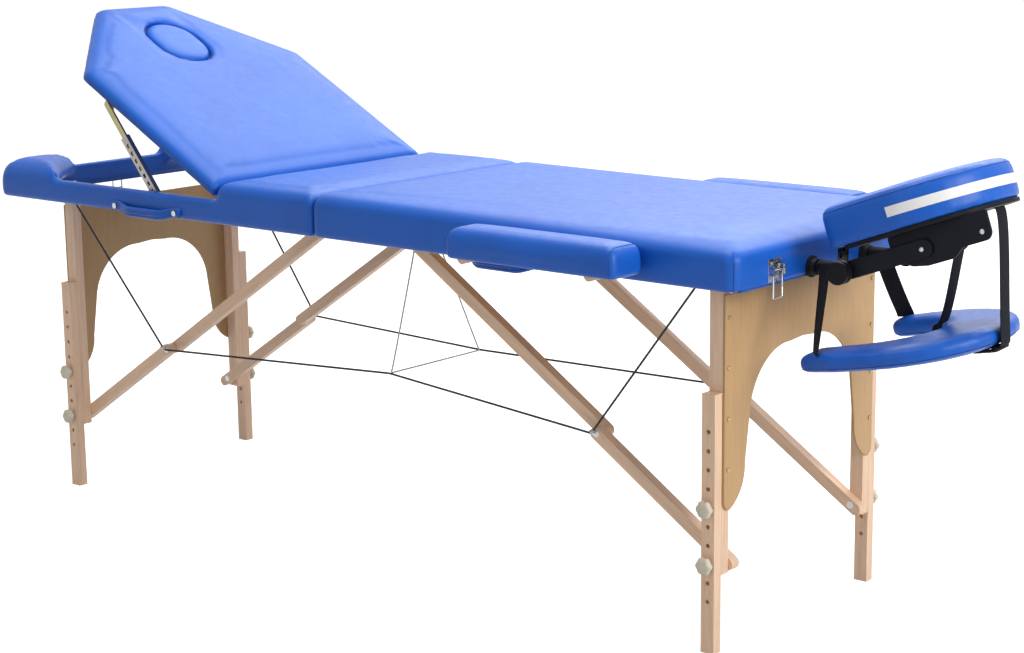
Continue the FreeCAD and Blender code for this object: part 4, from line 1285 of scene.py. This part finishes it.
refine("cradle_sockets", "black_plastic", 0.001)
refine("cradle_base", "black_metal", 0.0008)
refine("cradle_knobs", "black_plastic", 0.0016, 3)
refine("cradle_platform", "black_plastic", 0.001)


# Floor, light and surroundings
FLOOR_GLOW = 0.87
WORLD_LIGHT = 0.33


def seen_directly(tree):
    """1 for rays of the camera, mirrors and glass, which see the background, and 0 for lighting."""
    path = tree.nodes.new("ShaderNodeLightPath")
    seen = path.outputs["Is Camera Ray"]
    for ray in ("Is Glossy Ray", "Is Transmission Ray"):
        either = tree.nodes.new("ShaderNodeMath")
        either.operation = "MAXIMUM"
        tree.links.new(seen, either.inputs[0])
        tree.links.new(path.outputs[ray], either.inputs[1])
        seen = either.outputs[0]
    return seen


def add_floor():
    bm = bmesh.new()
    bmesh.ops.create_grid(bm, x_segments=8, y_segments=8, size=60.0)
    mesh = bpy.data.meshes.new("floor")
    bm.to_mesh(mesh)
    bm.free()
    floor = bpy.data.objects.new("floor", mesh)
    SCENE.collection.objects.link(floor)
    p = Paint("floor")
    lit = p.node("ShaderNodeBsdfDiffuse")
    p.link(p.ramp(p.noise(p.place(), 3.0), [(0.3, 0.49), (0.7, 0.53)]), lit.inputs["Color"])
    glow = p.node("ShaderNodeEmission")
    p.link(p.calculate("MULTIPLY", seen_directly(p.tree), FLOOR_GLOW), glow.inputs["Strength"])
    both = p.node("ShaderNodeAddShader")
    p.link(lit.outputs[0], both.inputs[0])
    p.link(glow.outputs[0], both.inputs[1])
    p.link(both.outputs[0], p.tree.nodes["Material Output"].inputs["Surface"])
    floor.data.materials.append(p.material)


def add_world():
    world = bpy.data.worlds.new("studio")
    SCENE.world = world
    world.use_nodes = True
    tree = world.node_tree
    background = tree.nodes["Background"]
    background.inputs["Color"].default_value = (1, 1, 1, 1)
    level = tree.nodes.new("ShaderNodeMapRange")
    level.inputs["To Min"].default_value = WORLD_LIGHT
    level.inputs["To Max"].default_value = 1.0
    tree.links.new(seen_directly(tree), level.inputs["Value"])
    tree.links.new(level.outputs[0], background.inputs["Strength"])


def add_lamp(name, place, aim, size, power):
    data = bpy.data.lights.new(name, "AREA")
    data.shape = "DISK"
    data.size = size
    data.energy = power
    lamp = bpy.data.objects.new(name, data)
    SCENE.collection.objects.link(lamp)
    lamp.location = place
    lamp.rotation_euler = (Vector(aim) - Vector(place)).to_track_quat("-Z", "Y").to_euler()


add_floor()
add_world()
add_lamp("back_light", (-0.9, 2.9, 3.9), (0, 0, 0.6), 5.0, 165)
add_lamp("top_light", (0.0, -0.2, 4.6), (0, 0, 0.6), 3.0, 110)
add_lamp("front_light", (0.6, -4.6, 2.0), (0, 0, 0.5), 2.4, 20)
add_lamp("end_light", (4.6, -0.2, 2.2), (0.6, 0, 0.5), 2.4, 135)
SCENE.view_settings.view_transform = "Standard"
